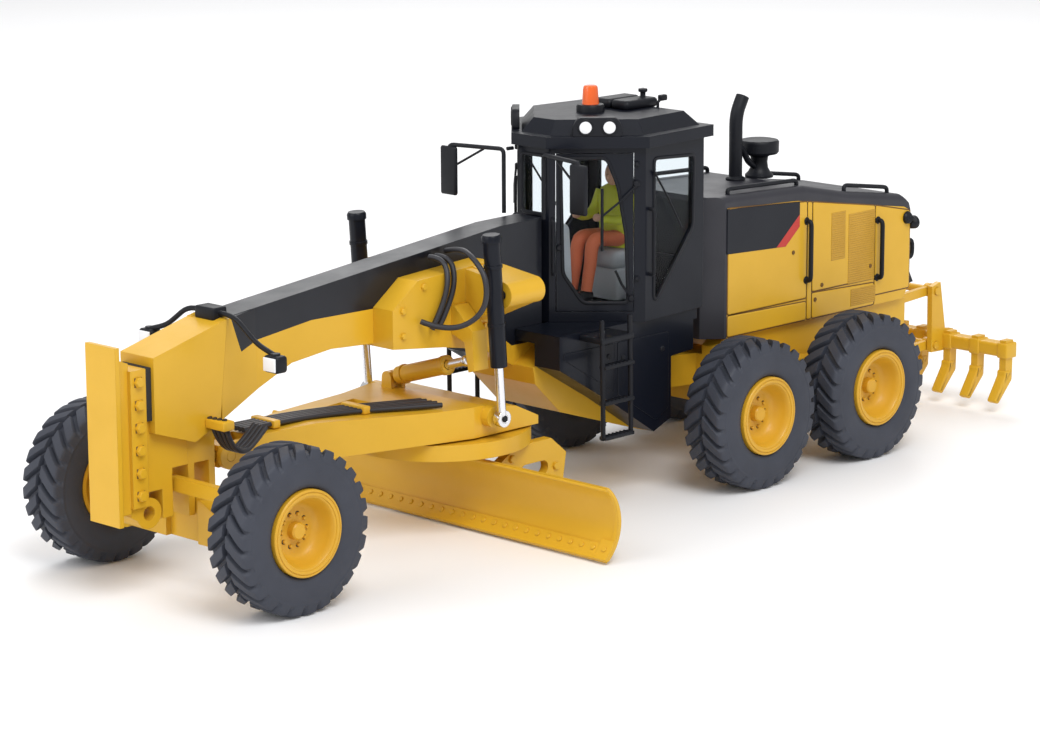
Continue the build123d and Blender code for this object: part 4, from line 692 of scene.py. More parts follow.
WHEELS = [
    # name, length forward, side
    (axle + side, x, s) for axle, x in (("front_", WHEELBASE), ("mid_", BOGIE), ("rear_", -BOGIE))
    for side, s in (("left", 1), ("right", -1))
]
RIM_PROFILE = [
    # radius, distance outward from the tyre's middle
    (0, 2.75), (1.2, 2.75), (1.45, 2.5), (1.5, 1.35), (3.8, 1.2), (4.3, 1.3), (4.9, 1.9), (5.5, 3.6),
    (5.75, 4.5), (5.95, 4.72), (6.2, 4.75), (6.25, 4.92), (6.7, 4.98), (6.76, 4.86), (6.84, 4.86),
    (6.9, 4.98), (7.15, 4.95), (7.3, 4.8), (7.3, -4.0), (6.5, -4.0),
    (5.9, -1.6), (5.0, -1.0), (1.25, -1.0), (1.25, 2.2), (0, 2.2),
]


RIM_BOLTS = 10
BOLT_CIRCLE = 2.7
RIM_FACE = 1.22


class GRADER_OT_wheels(bpy.types.Operator):
    """Moulded tyres with slanted lugs, and rims with their bolts"""
    bl_idname = "grader.wheels"
    bl_label = "Wheels"

    def execute(self, context):
        points = tyre_surface(given().lug_count, given().lug_slant / MM)
        ring = np.arange(RIM_BOLTS) * 2 * np.pi / RIM_BOLTS
        for name, x, side in WHEELS:
            middle = np.array((x, side * WHEEL_Y, TYRE_R))
            make("moulded_tyre_" + name, [("rubber", [sheet_of(points + middle)])], "wheel_" + name,
                 sharp=50, replaces=("tyre_" + name,))
            out = (0, side, 0)
            spots = [middle + (BOLT_CIRCLE * math.cos(a), side * RIM_FACE, BOLT_CIRCLE * math.sin(a))
                     for a in ring]
            make("wheel_rim_" + name, [
                ("rim", [turned(middle, out, RIM_PROFILE, 72)] + [bolt(p, out, 0.55, 0.42) for p in spots]),
                ("shadow", [disc(p, out, 0.48, 0.06, 0.03, 12) for p in spots]),
            ], "wheel_" + name, replaces=("rim_" + name,))
        return {"FINISHED"}


# Engine hood

# The doors, as back, front and foot, then the heights of a top that doesn't follow the cap
DOORS = [
    (-12.35, 10.5, 30.0), (-12.35, 10.5, 25.75, 29.2, 29.7), (-13.9, -12.65, 25.75),
    (-33.1, -14.2, 31.0), (-33.1, -14.2, 25.75, 30.0, 30.6), (-44.2, -33.4, 27.6),
]
CAP_EDGE = [(-44.5, 43.0), (-42.4, 44.0), (-9.7, 49.2), (10.7, 50.3)]
UNDER_CAP = 0.12
PANEL = [(10.9, 50.15), (-10.1, 49.0), (-10.1, 44.2), (-6.0, 40.85), (10.9, 41.6)]
STRIPE = [(-10.1, 46.6), (-3.4, 41.1)]    # the red stripe's front edge on the panel
# The grilles' middles, widths, heights and ribs
GRILLES = [(-21.8, 40.9, 4.2, 9.4, 22), (-29.0, 37.8, 8.1, 13.9, 32), (-29.7, 28.0, 7.6, 3.4, 9)]
GRILLE_BACK = 0.12
LATCHES = [(-8.3, 39.4), (-17.0, 31.9), (-31.8, 33.6), (-15.0, 29.3)]
RAIL_Y = 11.3
RAILS = [
    [(8.6, 52.3), (8.6, 53.5), (-11.4, 52.8), (-11.4, 51.5)],
    [(-25.8, 48.6), (-25.8, 50.1), (-39.2, 48.1), (-39.2, 46.6)],
]
# The door handles: length forward, foot and head
HANDLES = [(-12.2, 33.5, 45.0), (-34.0, 31.0, 42.4)]
HANDLE_OUT = 1.35
SEAM = [(0.0, -0.05), (0.0, 0.03), (0.24, 0.03), (0.24, -0.05)]
# The rear lamps' profiles, as radius and distance
LAMP_ROOT = [(0, 0), (1.2, 0), (1.25, 0.7), (0.9, 1.1), (0, 1.1)]
LAMP_HEAD = [(0, 0), (0.7, 0), (1.25, 0.7), (1.35, 1.7), (1.2, 1.75), (1.1, 1.55), (0, 1.55)]
LAMP_LENS = [(0, 1.5), (1.08, 1.5), (1.05, 1.68), (0.7, 1.85), (0, 1.95)]
# The stack on the hood's middle, and the bowl behind it
PIPE_Y = -0.6
STACK_R = 1.3
STACK_RUN = [(-7.4, PIPE_Y, 52.0), (-7.4, PIPE_Y, 64.6), (-9.3, PIPE_Y, 68.0)]
STACK_FOOT = [(0, 0), (1.9, 0), (1.9, 0.5), (1.5, 0.8), (0, 0.8)]
STACK_BRACE = [(-8.2, PIPE_Y, 58.6), (-9.6, PIPE_Y, 57.6), (-11.0, PIPE_Y, 55.2), (-13.0, PIPE_Y, 54.0)]
BOWL = [
    (0, 0), (2.75, 0), (2.75, 0.5), (2.2, 1.0), (1.75, 1.8), (1.6, 3.0), (1.75, 4.0), (2.3, 4.4), (3.5, 4.6),
    (3.8, 5.0), (3.85, 6.9), (3.6, 7.25), (2.9, 7.4), (0, 7.4),
]


def under_cap(x):
    """Height of the hood's side just under the black cap, at a length forward."""
    return float(np.interp(x, *zip(*CAP_EDGE))) - UNDER_CAP


def door(back, front, low, high_back=None, high_front=None):
    """A door's outline: its foot level, its top under the cap unless heights are given."""
    return [(back, low), (front, low), (front, high_front or under_cap(front)),
            (back, high_back or under_cap(back))]


def ribbed(s, x, z, width, height, ribs):
    """A fine grille: at the share t of its height its face stands out by 0.05 + 0.07 |sin(pi t ribs)|, and
    it closes at its back."""
    rows = np.linspace(0, 1, 4 * ribs + 1)
    out = 0.05 + 0.07 * np.abs(np.sin(rows * np.pi * ribs))
    zs = z + (rows - 0.5) * height
    left, right = x - width / 2, x + width / 2
    back = s * (HOOD_SIDE + GRILLE_BACK)
    face = s * (HOOD_SIDE + GRILLE_BACK + out)
    section = np.stack([np.stack([0 * zs + edge, at + 0 * zs, zs], -1)
                        for edge, at in ((left, back), (left, face), (right, face), (right, back))], 1)
    return bar(section)


def rear_lamp(s):
    """A work lamp on its stalk at the hood's rear corner: its bars, and its lens."""
    stalk = [(HOOD_REAR + 1.6, s * 12.9, 41.6), (HOOD_REAR + 1.2, s * 14.2, 41.9),
             (HOOD_REAR - 0.6, s * 13.9, 40.9)]
    head = (HOOD_REAR + 0.3, s * 13.1, 40.5)
    bars = [rod(stalk, 0.7, 0.5), turned((HOOD_REAR + 1.4, s * 13.1, 41.7), (0, s, 0.2), LAMP_ROOT),
            turned(head, (-1, 0, 0), LAMP_HEAD)]
    return bars, turned(head, (-1, 0, 0), LAMP_LENS)


class GRADER_OT_hood(bpy.types.Operator):
    """Doors, panel with its stripe, grilles, rails, handles and lamps of the engine hood"""
    bl_idname = "grader.hood"
    bl_label = "Engine hood"

    def execute(self, context):
        rise = given().door_rise / MM
        outlines = [rounded(door(*row), 0.4) for row in DOORS]
        doors, seams, panels, meshes, latches, bars, lenses, hooks = [], [], [], [], [], [], [], []
        for s in SIDES:
            side = side_of(s, HOOD_SIDE)
            y = s * HOOD_SIDE
            doors += [slab(side, outline, -0.05, rise, 0.12) for outline in outlines]
            # Dark strips round each door: painted shade standing in for the gaps between the doors
            seams += [moulding(side, outline, SEAM) for outline in outlines]
            panels.append(slab(side, PANEL, 0.0, rise + 0.05, 0.02))
            meshes += [ribbed(s, *grille) for grille in GRILLES]
            # Dark latch discs: painted shade standing in for the latches' recesses
            latches += [disc((x, s * (HOOD_SIDE + rise - 0.02), z), (0, s, 0), 0.42, 0.2, 0.08, 16)
                        for x, z in LATCHES]
            bars += [rod([(x, s * RAIL_Y, z) for x, z in stops], 1.2, 0.42) for stops in RAILS]
            for x, low, high in HANDLES:
                out = y + s * HANDLE_OUT
                bars.append(rod([(x, y, low), (x, out, low), (x, out, high), (x, y, high)], 1.1, 0.46))
                bars += [disc((x, y, z), (0, s, 0), 0.75, 0.35) for z in (low, high)]
            lamp, lens = rear_lamp(s)
            loop = [(HOOD_REAR + 0.6, s * 12.4, 36.9), (HOOD_REAR - 1.5, s * 12.6, 36.9),
                    (HOOD_REAR - 1.5, s * 12.6, 33.4), (HOOD_REAR + 0.6, s * 12.4, 33.4)]
            bars += [*lamp, rod(loop, 1.3, 0.45)]
            lenses.append(lens)
            hook = [(HOOD_REAR + 0.2, 31.6), (HOOD_REAR + 0.2, 28.2), (HOOD_REAR - 1.6, 28.4)]
            hooks.append(slab(side_of(s, 11.6), hook, -0.3, 1.4, 0.15))
        body = "rear_chassis"
        make("hood_doors", [("yellow", doors), ("seam", seams)], body)
        make("hood_panels", [("panel", panels)], body)
        # The grilles in the painted shade of their recesses
        make("hood_grilles", [("grille", meshes)], body)
        make("hood_latches", [("seam", latches)], body)
        make("hood_bars_and_lamps", [("plastic", bars + hooks), ("red", lenses)], body,
             replaces=("hood_fittings",))
        path = bent(STACK_RUN, 2.4, 8)
        last = len(path) - 1
        wall_rings = [(0, 0)] + [(k, STACK_R) for k in range(last + 1)]
        mouth = [(last, 1.02), (last - 1, 1.0), (last - 1, 0)]
        foot = turned((-7.4, PIPE_Y, 51.9), UP, STACK_FOOT)
        stack = [tube(path, STACK_R, 24, wall_rings + mouth), foot, rod(STACK_BRACE, 1.2, 0.62)]
        make("stack_pipe", [("plastic", stack)], body, replaces=("exhaust_stack",))
        bowl = turned((-14.4, PIPE_Y, 51.8), UP, BOWL, 40)
        make("precleaner_bowl", [("plastic", [bowl])], body, replaces=("air_precleaner",))
        return {"FINISHED"}


# Cab

DOOR_WALL = math.dist(CAB_PLAN[1], CAB_PLAN[2])
SIDE_WALL = math.dist(CAB_PLAN[2], CAB_PLAN[3])
DOOR_WINDOW = [(2.2, 63.0), (10.4, 63.0), (12.4, 58.0), (13.9, 49.0), (14.3, 36.6), (6.2, 36.6), (2.6, 42.0)]
SIDE_WINDOW = [(2.6, 62.6), (14.6, 61.8), (14.2, 48.5), (3.6, 36.8), (2.6, 36.8)]


def flipped(outline, length):
    """The same outline on the opposite wall, whose length runs the other way."""
    return [(length - x, z) for x, z in reversed(outline)]


WINDOWS = [
    # wall, outline along the wall and up
    (0, [(0.9, 52.8), (6.7, 52.8), (6.7, 63.4), (0.9, 63.4)]), (1, DOOR_WINDOW), (2, SIDE_WINDOW),
    (3, [(3.0, 42.0), (26.0, 42.0), (26.0, 62.0), (3.0, 62.0)]),
    (4, flipped(SIDE_WINDOW, SIDE_WALL)), (5, flipped(DOOR_WINDOW, DOOR_WALL)),
]
SEAL = [(-0.25, -0.2), (-0.25, 0.1), (-0.1, 0.25), (0.25, 0.25), (0.4, 0.1), (0.4, -0.2)]
# The wipers' rods: wall, stops along it, up and out, and radius; the door's two, its blade, the side's one
WIPERS = [
    (1, [(15.9, 58.2, 0.5), (13.0, 55.4, 0.8), (9.6, 52.6, 0.8)], 0.22),
    (1, [(9.6, 57.6, 0.55), (9.6, 52.0, 0.6), (9.6, 46.2, 0.55)], 0.28),
    (1, [(14.6, 38.0, 0.5), (13.2, 40.0, 0.7), (12.0, 42.6, 0.6)], 0.24),
    (2, [(2.0, 60.4, 0.4), (6.0, 55.0, 0.6), (10.2, 49.0, 0.5)], 0.2),
]
# The pillars' grab bars: wall, length along it, foot, head, distance out, bend and radius
GRAB_BARS = [(2, 1.2, 41.6, 53.6, 1.1, 0.9, 0.34), (1, 0.7, 42.0, 52.0, 1.0, 0.8, 0.3)]
# The door's knobs and hinges: length along its wall, height and radius
KNOBS = [(15.8, 58.4, 0.65), (14.9, 37.4, 0.6), (15.9, 62.0, 0.5), (15.9, 41.0, 0.5), (1.8, 46.8, 0.55)]


def on_wall(i, stops):
    """Points given along a wall, up and out, as forward, left and up."""
    return np.vstack([lay(wall(i), [(x, z)], out) for x, z, out in stops])


class GRADER_OT_cab(bpy.types.Operator):
    """Window seals, wipers, grab bars and hinges of the cab"""
    bl_idname = "grader.cab"
    bl_label = "Cab"

    def execute(self, context):
        seals = [moulding(wall(i), rounded(outline, 1.0), SEAL) for i, outline in WINDOWS]
        make("window_seals", [("plastic", seals)], "front_chassis")
        trim = [tube(on_wall(i, stops), radius, 8) for i, stops, radius in WIPERS]
        trim += [rod(on_wall(i, [(x, low, 0), (x, low, out), (x, high, out), (x, high, 0)]), bend, radius)
                 for i, x, low, high, out, bend, radius in GRAB_BARS]
        axis = np.array(wall(1)[1][2])
        trim += [turned(on_wall(1, [(x, z, 0.0)])[0], axis,
                        [(0, 0), (r, 0), (r, 0.5), (0.7 * r, 0.75), (0, 0.75)], 16) for x, z, r in KNOBS]
        make("cab_trim", [("plastic", both_sides(trim))], "front_chassis")
        return {"FINISHED"}


# Roof and lamps

# The lamp arch over each door, about the door's middle, and its lamps' profiles
ARCH = [(-4.6, 67.0), (4.6, 67.0), (4.4, 69.2), (3.4, 70.6), (-3.4, 70.6), (-4.4, 69.2)]
LAMP_APART = 2.15
LAMP_UP = 68.8
LAMP_RING = [(1.0, 0), (1.45, 0), (1.45, 0.25), (1.25, 0.3), (1.0, 0.1), (1.0, 0)]
LAMP_GLASS = [(0, 0), (1.25, 0), (1.2, 0.15), (0.8, 0.28), (0, 0.34)]
ROOF_KNOB = [(0, 0), (0.5, 0), (0.5, 1.0), (0.85, 1.2), (0.85, 1.7), (0, 1.9)]
BEACON_X = 34.0
BEACON_BASE = [(0, 0), (2.6, 0), (2.6, 1.1), (2.4, 1.45), (1.9, 1.5), (0, 1.5)]
BEACON_LIGHT = [(0, 0), (1.6, 0), (1.55, 0.4), (1.4, 2.8), (1.28, 3.3), (1.05, 3.5), (0, 3.57)]
# The left mirror's post and arm, and the left front lamp's tube
MIRROR_POST = [(51.6, 5.0, 52.5), (51.6, 5.0, 64.2), (54.35, 16.3, 64.2), (54.35, 16.3, 62.0)]
LAMP_TUBE = [(126.0, 1.6, 46.0), (126.0, 6.0, 45.8), (126.0, 11.4, 42.0), (126.0, 15.6, 40.8)]


class GRADER_OT_roof(bpy.types.Operator):
    """Roof unit, lamp clusters, beacon, mirrors and front lamps"""
    bl_idname = "grader.roof"
    bl_label = "Roof and lamps"

    def execute(self, context):
        body, slot = "front_chassis", "black_plastic"
        mid = DOOR_WALL / 2
        arch = slab(wall(1), rounded([(mid + x, z) for x, z in ARCH], 0.7), -0.2, 1.2, 0.2)
        spots = [on_wall(1, [(mid + x, LAMP_UP, 1.1)])[0] for x in (-LAMP_APART, LAMP_APART)]
        axis = wall(1)[1][2]
        hoods = both_sides([arch] + [turned(spot, axis, LAMP_RING, 20) for spot in spots])
        lenses = both_sides([turned(spot, axis, LAMP_GLASS, 20) for spot in spots])
        unit = [
            block((20.1, -4.4, 69.5), (28.9, -0.1, 71.4), 0.8),
            block((20.1, 0.1, 69.5), (28.9, 4.4, 71.4), 0.8),
            block((21.5, -2.0, 69.5), (27.5, 2.0, 71.1), 0.4),
            turned((22.2, 2.2, 71.2), UP, ROOF_KNOB, 16),
            tube([(21.6, 5.4, 68.6), (21.6, 5.4, 70.6), (20.4, 5.4, 71.4)], 0.28, 8),
            block((19.4, 4.9, 70.8), (21.2, 5.9, 71.9), 0.25),
        ]
        make("roof_lamps", [("plastic", hoods + unit), ("lamp", lenses)], body,
             replaces=("roof_fittings",))
        base = turned((BEACON_X, 0, 69.6), UP, BEACON_BASE, 32)
        light = turned((BEACON_X, 0, 71.0), UP, BEACON_LIGHT, 32)
        make("warning_beacon", [("plastic", [base]), ("beacon", [light])], body,
             replaces=("beacon",))
        frames = [
            rod(MIRROR_POST, 1.0, 0.4), tube([(50.9, 4.8, 64.2), (49.6, 4.6, 64.2)], 0.35, 8),
            block((53.9, 14.3, 54.9), (54.85, 18.3, 63.9), 0.45),
            tube([(52.6, 9.1, 63.9), (54.2, 15.0, 60.4)], 0.22, 8),
        ]
        silver = [block((53.8, 14.7, 55.4), (54.0, 17.9, 63.4), 0.08)]
        make("wing_mirrors", [("plastic", both_sides(frames)), ("chrome", both_sides(silver))], body,
             replaces=("mirrors",))
        heads = [rod(LAMP_TUBE, 2.0, 0.45), block((124.7, 14.2, 37.9), (127.3, 17.7, 40.8), 0.6),
                 turned((126.0, 16.0, 40.6), UP, [(0, 0), (0.8, 0), (0.8, 0.5), (0, 0.6)], 16)]
        lens = [block((127.15, 14.5, 38.2), (127.5, 17.4, 40.5), 0.15)]
        foot = [block((124.4, -2.4, 44.7), (127.6, 2.4, 46.9), 0.4)]
        make("nose_lamps", [("plastic", both_sides(heads) + foot), ("lamp", both_sides(lens))], body,
             replaces=("front_lamps",))
        return {"FINISHED"}


# Inside the cab

DASH = [(41.5, 34.2), (45.0, 34.2), (45.6, 49.0), (43.6, 50.6), (42.6, 49.6)]
# The figure: its trunk as forward, left, up, half length and half width, and its left limbs' stops
TRUNK = [
    (27.2, 0, 43.9, 2.0, 3.3), (27.2, 0, 48.0, 2.1, 3.3), (27.2, 0, 52.4, 2.1, 3.6),
    (27.1, 0, 54.6, 1.7, 3.3), (27.1, 0, 55.5, 1.0, 1.6),
]
ARM = [(27.2, 3.5, 53.9), (28.6, 4.1, 50.4), (31.4, 3.9, 49.6), (34.4, 2.8, 50.3)]
LEG = [(26.6, 1.8, 45.3), (31.0, 1.8, 45.9), (35.0, 1.8, 45.8), (36.0, 1.8, 41.6), (37.0, 1.8, 36.8)]


def limb(stops, thick, thin, sides):
    """A limb along a curve through its stops, its radius falling evenly."""
    path = curve_through(stops, 4)
    return tube(path, np.linspace(thick, thin, len(path)), sides)


class GRADER_OT_cabin(bpy.types.Operator):
    """Seat, dash and the seated figure"""
    bl_idname = "grader.cabin"
    bl_label = "Inside the cab"

    def execute(self, context):
        body = "front_chassis"
        inside = [
            block((20.6, -4.2, 34.2), (31.2, 4.2, 40.4), 0.6),
            block((23.4, -4.1, 40.2), (31.9, 4.1, 43.7), 1.2),
            block((21.2, -4.0, 42.6), (23.8, 4.0, 56.0), 1.1, turn_about("Y", -6)),
            slab(side_of(1, -3.0), rounded(DASH, 0.7), 0.0, 6.0, 0.4),
        ]
        make("cabin_seat", [("seat", inside)], body, replaces=("cab_interior",))
        shirt = [loft(TRUNK)] + both_sides([limb(ARM, 1.15, 0.8, 12)])
        hands = both_sides([ball((35.0, 2.6, 50.4), (0.9, 0.75, 0.75), 8, 12)])
        boots = both_sides([block((35.8, 0.8, 35.1), (39.4, 2.8, 36.9), 0.6)])
        legs = both_sides([limb(LEG, 1.6, 1.05, 14)])
        head = [ball((27.6, 0, 57.4), (1.85, 1.65, 2.25), 12, 18),
                turned((27.3, 0, 55.0), UP, [(0, 0), (0.85, 0), (0.85, 1.2), (0, 1.3)], 12),
                ball((29.45, 0, 57.2), (0.35, 0.3, 0.4), 6, 8)]
        hair = [ball((27.2, 0, 58.0), (1.95, 1.75, 1.9), 10, 18)]
        dressed = [("sleeve", shirt), ("trousers", legs), ("skin", head + hands), ("plastic", hair + boots)]
        make("seated_figure", dressed, body, sharp=60, replaces=("operator_figure",))
        return {"FINISHED"}


# Front end and yoke

STRIP_BOLTS = (144.8, np.linspace(18.4, 37.4, 6))    # length forward and heights
# The head's cheek at its back and its front: length forward, distance out, foot and top
CHEEK = [(118.6, 3.06, 32.0, 45.8), (127.6, 4.2, 28.3, 44.9)]
CHEEK_IN = 2.9
YOKE_BOLTS = [(69.8, 36.2), (69.8, 45.6), (89.6, 37.2), (89.6, 41.6), (84.6, 45.2)]
# The yoke's rib at its root and its end: distance out, foot and top
RIB = [(7.8, 44.6, 47.2), (15.6, 44.4, 45.7)]
RIB_X = (70.4, 72.6)


class GRADER_OT_front(bpy.types.Operator):
    """Bolts of the front strip, the head's cheeks and the yoke's bolts"""
    bl_idname = "grader.front"
    bl_label = "Front end and yoke"

    def execute(self, context):
        body = "front_chassis"
        x, heights = STRIP_BOLTS
        bolts = [bolt((x, s * 3.6, z), (0, s, 0), 1.6, 0.8) for s in SIDES for z in heights]
        # Dark pads under the bolts: painted shade round the bolt heads
        pads = [block((x - 0.8, s * 3.55, z - 0.8), (x + 0.8, s * 3.7, z + 0.8), 0.06)
                for s in SIDES for z in heights]
        make("strip_bolts", [("yellow", bolts), ("seam", pads)], body)
        shadow = block((141.9, -3.5, 30.5), (143.3, 3.5, 39.4), 0.1)
        make("head_shadow", [("shadow", [shadow])], body)
        cheek = bar([[(at, CHEEK_IN, low), (at, CHEEK_IN, top), (at, out, top), (at, out, low)]
                     for at, out, low, top in CHEEK])
        make("head_cheeks", [("neck", both_sides([cheek]))], body)
        fixed = [bolt((at, s * 8.0, z), (0, s, 0), 1.1, 0.5) for s in SIDES for at, z in YOKE_BOLTS]
        fixed += [disc((66.0, s * LIFT_Y, LIFT_TRUNNION[1]), (-1, 0, 0), 1.7, 0.4, 0.15) for s in SIDES]
        back, front = RIB_X
        fixed += [bar([[(back, s * y, low), (front, s * y, low), (front, s * y, top), (back, s * y, top)]
                       for y, low, top in RIB]) for s in SIDES]
        make("yoke_bolts", [("yellow", fixed)], body)
        return {"FINISHED"}


# Cylinders

# The collars of a lift barrel, as height, radius and length, and those of the shift barrel, as distance
# from its foot and length
LIFT_COLLARS = [(38.2, 1.6, 0.6), (48.6, 1.66, 0.6)]
SHIFT_COLLARS = [(2.9, 0.6), (13.6, 1.0)]
CAP_UP = 53.2
CAP = [(0, 0), (1.75, 0), (1.75, 0.9), (1.5, 1.3), (0, 1.35)]
EYE_RING = [(0.8, -0.74), (1.5, -0.74), (1.55, -0.5), (1.55, 0.5), (1.5, 0.74), (0.8, 0.74), (0.8, -0.74)]


def collar(centre, axis, inner, outer, length):
    """A ring round a barrel, its inner side in the barrel's wall."""
    return turned(centre, axis, [(inner, 0), (outer, 0), (outer, length), (inner, length), (inner, 0)], 24)


class GRADER_OT_cylinders(bpy.types.Operator):
    """Collars, caps and eyes of the cylinders"""
    bl_idname = "grader.cylinders"
    bl_label = "Cylinders"

    def execute(self, context):
        (eye_x, eye_z), (top_x, top_z) = LIFT_EYE, LIFT_TRUNNION
        axis = np.array((top_x - eye_x, 0, top_z - eye_z)) / math.dist(LIFT_EYE, LIFT_TRUNNION)
        for side, s in (("left", 1), ("right", -1)):
            eye = np.array((eye_x, s * LIFT_Y, eye_z))
            spots = [eye + axis * (z - eye_z) / axis[2] for z in (CAP_UP, *(row[0] for row in LIFT_COLLARS))]
            rings = [collar(spot, axis, 1.4, radius, length)
                     for spot, (z, radius, length) in zip(spots[1:], LIFT_COLLARS)]
            make(f"barrel_collars_{side}", [("black", rings + [turned(spots[0], axis, CAP, 24)])],
                 f"lift_barrel_{side}_body")
            ring = turned(eye, (0, s, 0), EYE_RING, 28)
            pin = disc(eye, (0, s, 0), 0.62, 0.95, 0.15, 18)
            make(f"rod_eye_{side}", [("chrome", [ring]), ("plastic", [pin])], f"lift_rod_{side}_body")
        foot = np.array(SHIFT_FOOT)
        run = np.array(SHIFT_EYE) - foot
        rings = [collar(foot + at / np.linalg.norm(run) * run, run, 1.5, 1.78, length)
                 for at, length in SHIFT_COLLARS]
        make("shift_collars", [("yellow", rings)], "shift_barrel_body")
        return {"FINISHED"}


# Blade, as angles over the moldboard's middle and radii about its axis

EDGE_LOW, EDGE_TOP, BIT_TOP, BORDER_TOP = -51.4, -29.6, -24.0, 50.5
STRIP_BACK, EDGE_FACE, BIT_FACE, BORDER_FACE = 8.6, 8.0, 7.9, 8.1
EDGE_END = 39.5
EDGE_BOLT = -37.0
BOLT_PITCH = 2.65
ARM_BOLTS = [(68.6, 12.6), (68.6, 4.4), (57.4, 9.4), (60.4, 6.8)]


def curved_strip(low, high, inner, y0, y1, steps=6):
    """A strip along the moldboard's face: at the angle a over its middle, its corners lie at its inner
    radius and at the one of its back, each radius r being r cos a behind the axis and r sin a over it."""
    rings = []
    for a in np.radians(np.linspace(low, high, steps)):
        rings.append([(BLADE_AXIS[0] - r * np.cos(a), y, BLADE_AXIS[1] + r * np.sin(a))
                      for r, y in ((inner, y0), (inner, y1), (STRIP_BACK, y1), (STRIP_BACK, y0))])
    return bar(rings)


class GRADER_OT_blade(bpy.types.Operator):
    """Cutting edge with its bolts, end bits, borders and the rolled top of the blade"""
    bl_idname = "grader.blade"
    bl_label = "Blade"

    def execute(self, context):
        strips = [curved_strip(EDGE_LOW, EDGE_TOP, EDGE_FACE, -EDGE_END, EDGE_END)]
        strips += [curved_strip(EDGE_LOW, BIT_TOP, BIT_FACE, s * 39.55, s * 42.55) for s in SIDES]
        strips += [curved_strip(BIT_TOP, BORDER_TOP, BORDER_FACE, s * 41.7, s * 42.55, 12) for s in SIDES]
        strips.append(tube([(75.2, y, 13.25) for y in (-42.5, 0, 42.5)], 0.34, 10))
        make("cutting_edge", [("yellow", strips)], "blade_body", sharp=40)
        run, rise = math.cos(math.radians(EDGE_BOLT)), math.sin(math.radians(EDGE_BOLT))
        heads = []
        for y in (np.arange(32) - 15.5) * BOLT_PITCH:
            r = EDGE_FACE if abs(y) < EDGE_END else BIT_FACE
            heads.append(disc((BLADE_AXIS[0] - r * run, y, BLADE_AXIS[1] + r * rise), (run, 0, -rise),
                              0.5, 0.25, 0.1, 10))
        make("edge_bolts", [("yellow", heads)], "blade_body")
        arms = [bolt((x, s * 13.4, z), (0, s, 0), 1.3, 0.5) for s in SIDES for x, z in ARM_BOLTS]
        make("arm_bolts", [("yellow", arms)], "circle_body")
        return {"FINISHED"}


# Under the cab, and the ripper

BOX_SIDE = 14.4
PLATES = [
    [(28.4, 29.8), (28.4, 15.4), (31.8, 13.6), (42.2, 20.2), (42.2, 29.8)],
    [(43.0, 29.8), (43.0, 20.8), (56.2, 28.6), (56.2, 29.8)],
]
PLATE_LATCHES = [(30.2, 26.8), (40.8, 26.8), (44.6, 27.6)]
LADDER_Y = 19.6
TREADS = (14.0, 20.4, 27.0)
SHANK_PITCH = 7.1
TIP = [(-67.0, 8.4), (-64.9, 8.4), (-64.9, 7.4), (-61.7, 2.6), (-62.9, 1.9), (-67.4, 6.4)]


class GRADER_OT_lower(bpy.types.Operator):
    """Plates and latches under the cab, step treads and ripper tips"""
    bl_idname = "grader.lower"
    bl_label = "Under the cab and ripper"

    def execute(self, context):
        plates = [slab(side_of(s, BOX_SIDE), rounded(outline, 0.5), -0.05, 0.12, 0.08)
                  for s in SIDES for outline in PLATES]
        latches = [disc((x, s * (BOX_SIDE + 0.1), z), (0, s, 0), 0.5, 0.25, 0.1, 14)
                   for s in SIDES for x, z in PLATE_LATCHES]
        make("side_plates", [("black", plates), ("plastic", latches)], "front_chassis")
        ladder = [tube([(x, LADDER_Y, 14.0), (x + 0.1, LADDER_Y, 25.0), (x + 0.4, LADDER_Y, 36.0)], 0.45, 10)
                  for x in (44.2, 51.5)]
        ladder += [block((44.0, 18.8, z), (51.7, 20.4, z + 0.7), 0.15) for z in TREADS]
        ladder += [block((x - 0.2, 18.9, z + 0.6), (x + 0.2, 20.3, z + 0.85), 0.06)
                   for z in TREADS for x in np.linspace(45.4, 50.4, 6)]
        ladder.append(block((43.8, 14.45, 31.6), (52.3, 20.1, 32.7), 0.25))
        make("ladder_steps", [("plastic", both_sides(ladder))], "front_chassis",
             replaces=("cab_steps",))
        shanks = np.arange(-3, 4) * SHANK_PITCH
        tips = [slab(side_of(1, y), rounded(TIP, 0.4), -1.0, 1.0, 0.3) for y in shanks]
        tips += [block((-68.3, y - 1.3, 10.9), (-64.8, y + 1.3, 14.1), 0.35) for y in shanks]
        make("ripper_tips", [("yellow", tips)], "ripper_body")
        return {"FINISHED"}


# Hoses: the body, the CAD node and the size of each group, then the stops along each hose

HOSES = {
    "bar_hoses": ("drawbar_body", "drawbar_hoses", 1.0, [
        [(121.4, y + 0.2, 25.2), (112.0, y, 25.1), (100.0, y + 1.6, 24.85), (90.0, 1.2 * y + 4.6, 24.4),
         (82.4, 1.3 * y + 7.4, 24.2 + 0.1 * (k % 2))] for k, y in enumerate((-2.0, -1.0, 0.0, 1.0, 2.0))]),
    "head_hoses": ("front_chassis", "nose_hoses", 1.0, [
        [(130.8 - 0.2 * k, y, 29.4), (129.4, y, 25.4), (126.6, y + 0.4, 22.9), (123.6, y + 0.3, 24.6),
         (120.8, y - 0.4, 26.4)] for k, y in enumerate((4.75, 5.75, 6.75, 7.75))]),
    "crown_hoses": ("front_chassis", "yoke_hoses", 1.1, [
        [(77.6 + d, 3.9, 49.2), (77.2 + d, 7.0, 49.4), (78.0 + d, 9.2, 46.0), (79.6 + d, 9.2, 41.4),
         (81.8 + d, 8.75, 37.6)] for d in (0.0, 1.6)] + [
        [(86.0, 8.7, 39.4), (84.6, 11.0, 38.4), (82.0, 15.2, 38.6), (80.2, 18.8, 42.0), (79.9, 18.8, 47.4),
         (79.7, 15.4, 50.6), (77.6, 10.0, 51.4), (75.2, 4.0, 49.8)]]),
}
BAR_CLAMPS = [(114.5, 0.1, 24.4), (96.0, 2.6, 24.1)]


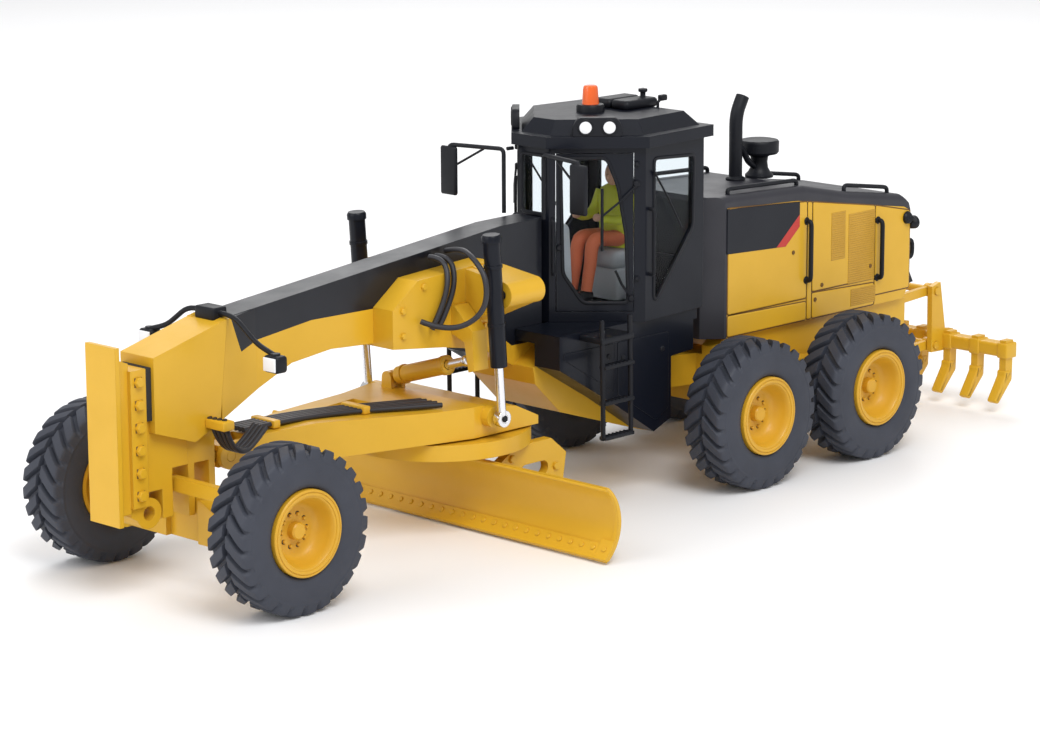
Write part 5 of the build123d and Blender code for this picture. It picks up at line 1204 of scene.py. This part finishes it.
def hose_curve(name, radius, routes):
    """A curve object with one smooth spline a hose, whose control points are the hose's stops."""
    curve = bpy.data.curves.new(name, "CURVE")
    curve.dimensions = "3D"
    curve.bevel_depth = radius
    curve.bevel_resolution = 3
    curve.resolution_u = 8
    curve.use_fill_caps = True
    for route in routes:
        spline = curve.splines.new("NURBS")
        spline.points.add(len(route) - 1)
        spline.points.foreach_set("co", np.c_[place(np.array(route)), np.ones(len(route))].ravel())
        spline.order_u = 3
        spline.use_endpoint_u = True
    curve.materials.append(MATERIALS["hose"])
    obj = bpy.data.objects.new(name, curve)
    bpy.context.scene.collection.objects.link(obj)
    return obj


class GRADER_OT_hoses(bpy.types.Operator):
    """The hoses as smooth curves, and their clamps"""
    bl_idname = "grader.hoses"
    bl_label = "Hoses"

    def execute(self, context):
        for name, (body, node, share, routes) in HOSES.items():
            obj = hose_curve(name, given().hose_size * share, routes)
            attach(obj, body)
            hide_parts(node)
        clamps = [block((x - 0.8, y - 3.0, z), (x + 0.8, y + 3.0, z + 1.4), 0.25) for x, y, z in BAR_CLAMPS]
        make("bar_clamps", [("yellow", clamps)], "drawbar_body")
        clamp = block((129.0, 4.2, 27.6), (131.4, 9.0, 29.2), 0.25)
        make("head_clamp", [("yellow", [clamp])], "front_chassis")
        return {"FINISHED"}


OPERATORS = [
    GRADER_OT_finishes, GRADER_OT_stage, GRADER_OT_wheels, GRADER_OT_hood, GRADER_OT_cab, GRADER_OT_roof,
    GRADER_OT_cabin, GRADER_OT_front, GRADER_OT_cylinders, GRADER_OT_blade, GRADER_OT_lower, GRADER_OT_hoses,
]


class GRADER_PT_panel(bpy.types.Panel):
    """The dressing's pieces"""
    bl_label = "Grader"
    bl_space_type = "VIEW_3D"
    bl_region_type = "UI"
    bl_category = "Grader"

    def draw(self, context):
        for step in OPERATORS:
            self.layout.operator(step.bl_idname)
        for value in ("yellow", "black", "stripe", "rubber",
                      "lug_count", "lug_slant", "hose_size", "door_rise"):
            self.layout.prop(context.scene.grader_fittings, value)


CLASSES = [Fittings, *OPERATORS, GRADER_PT_panel]


def register():
    """Register the classes, and hang the values on the scene."""
    for item in CLASSES:
        bpy.utils.register_class(item)
    bpy.types.Scene.grader_fittings = bpy.props.PointerProperty(type=Fittings)


def unregister():
    """Take back what register did, the last class first."""
    del bpy.types.Scene.grader_fittings
    for item in reversed(CLASSES):
        bpy.utils.unregister_class(item)


def main():
    """Run every operator in order."""
    register()
    bpy.ops.grader.finishes()
    bpy.ops.grader.stage()
    bpy.ops.grader.wheels()
    bpy.ops.grader.hood()
    bpy.ops.grader.cab()
    bpy.ops.grader.roof()
    bpy.ops.grader.cabin()
    bpy.ops.grader.front()
    bpy.ops.grader.cylinders()
    bpy.ops.grader.blade()
    bpy.ops.grader.lower()
    bpy.ops.grader.hoses()


if __name__ == "__main__":
    main()
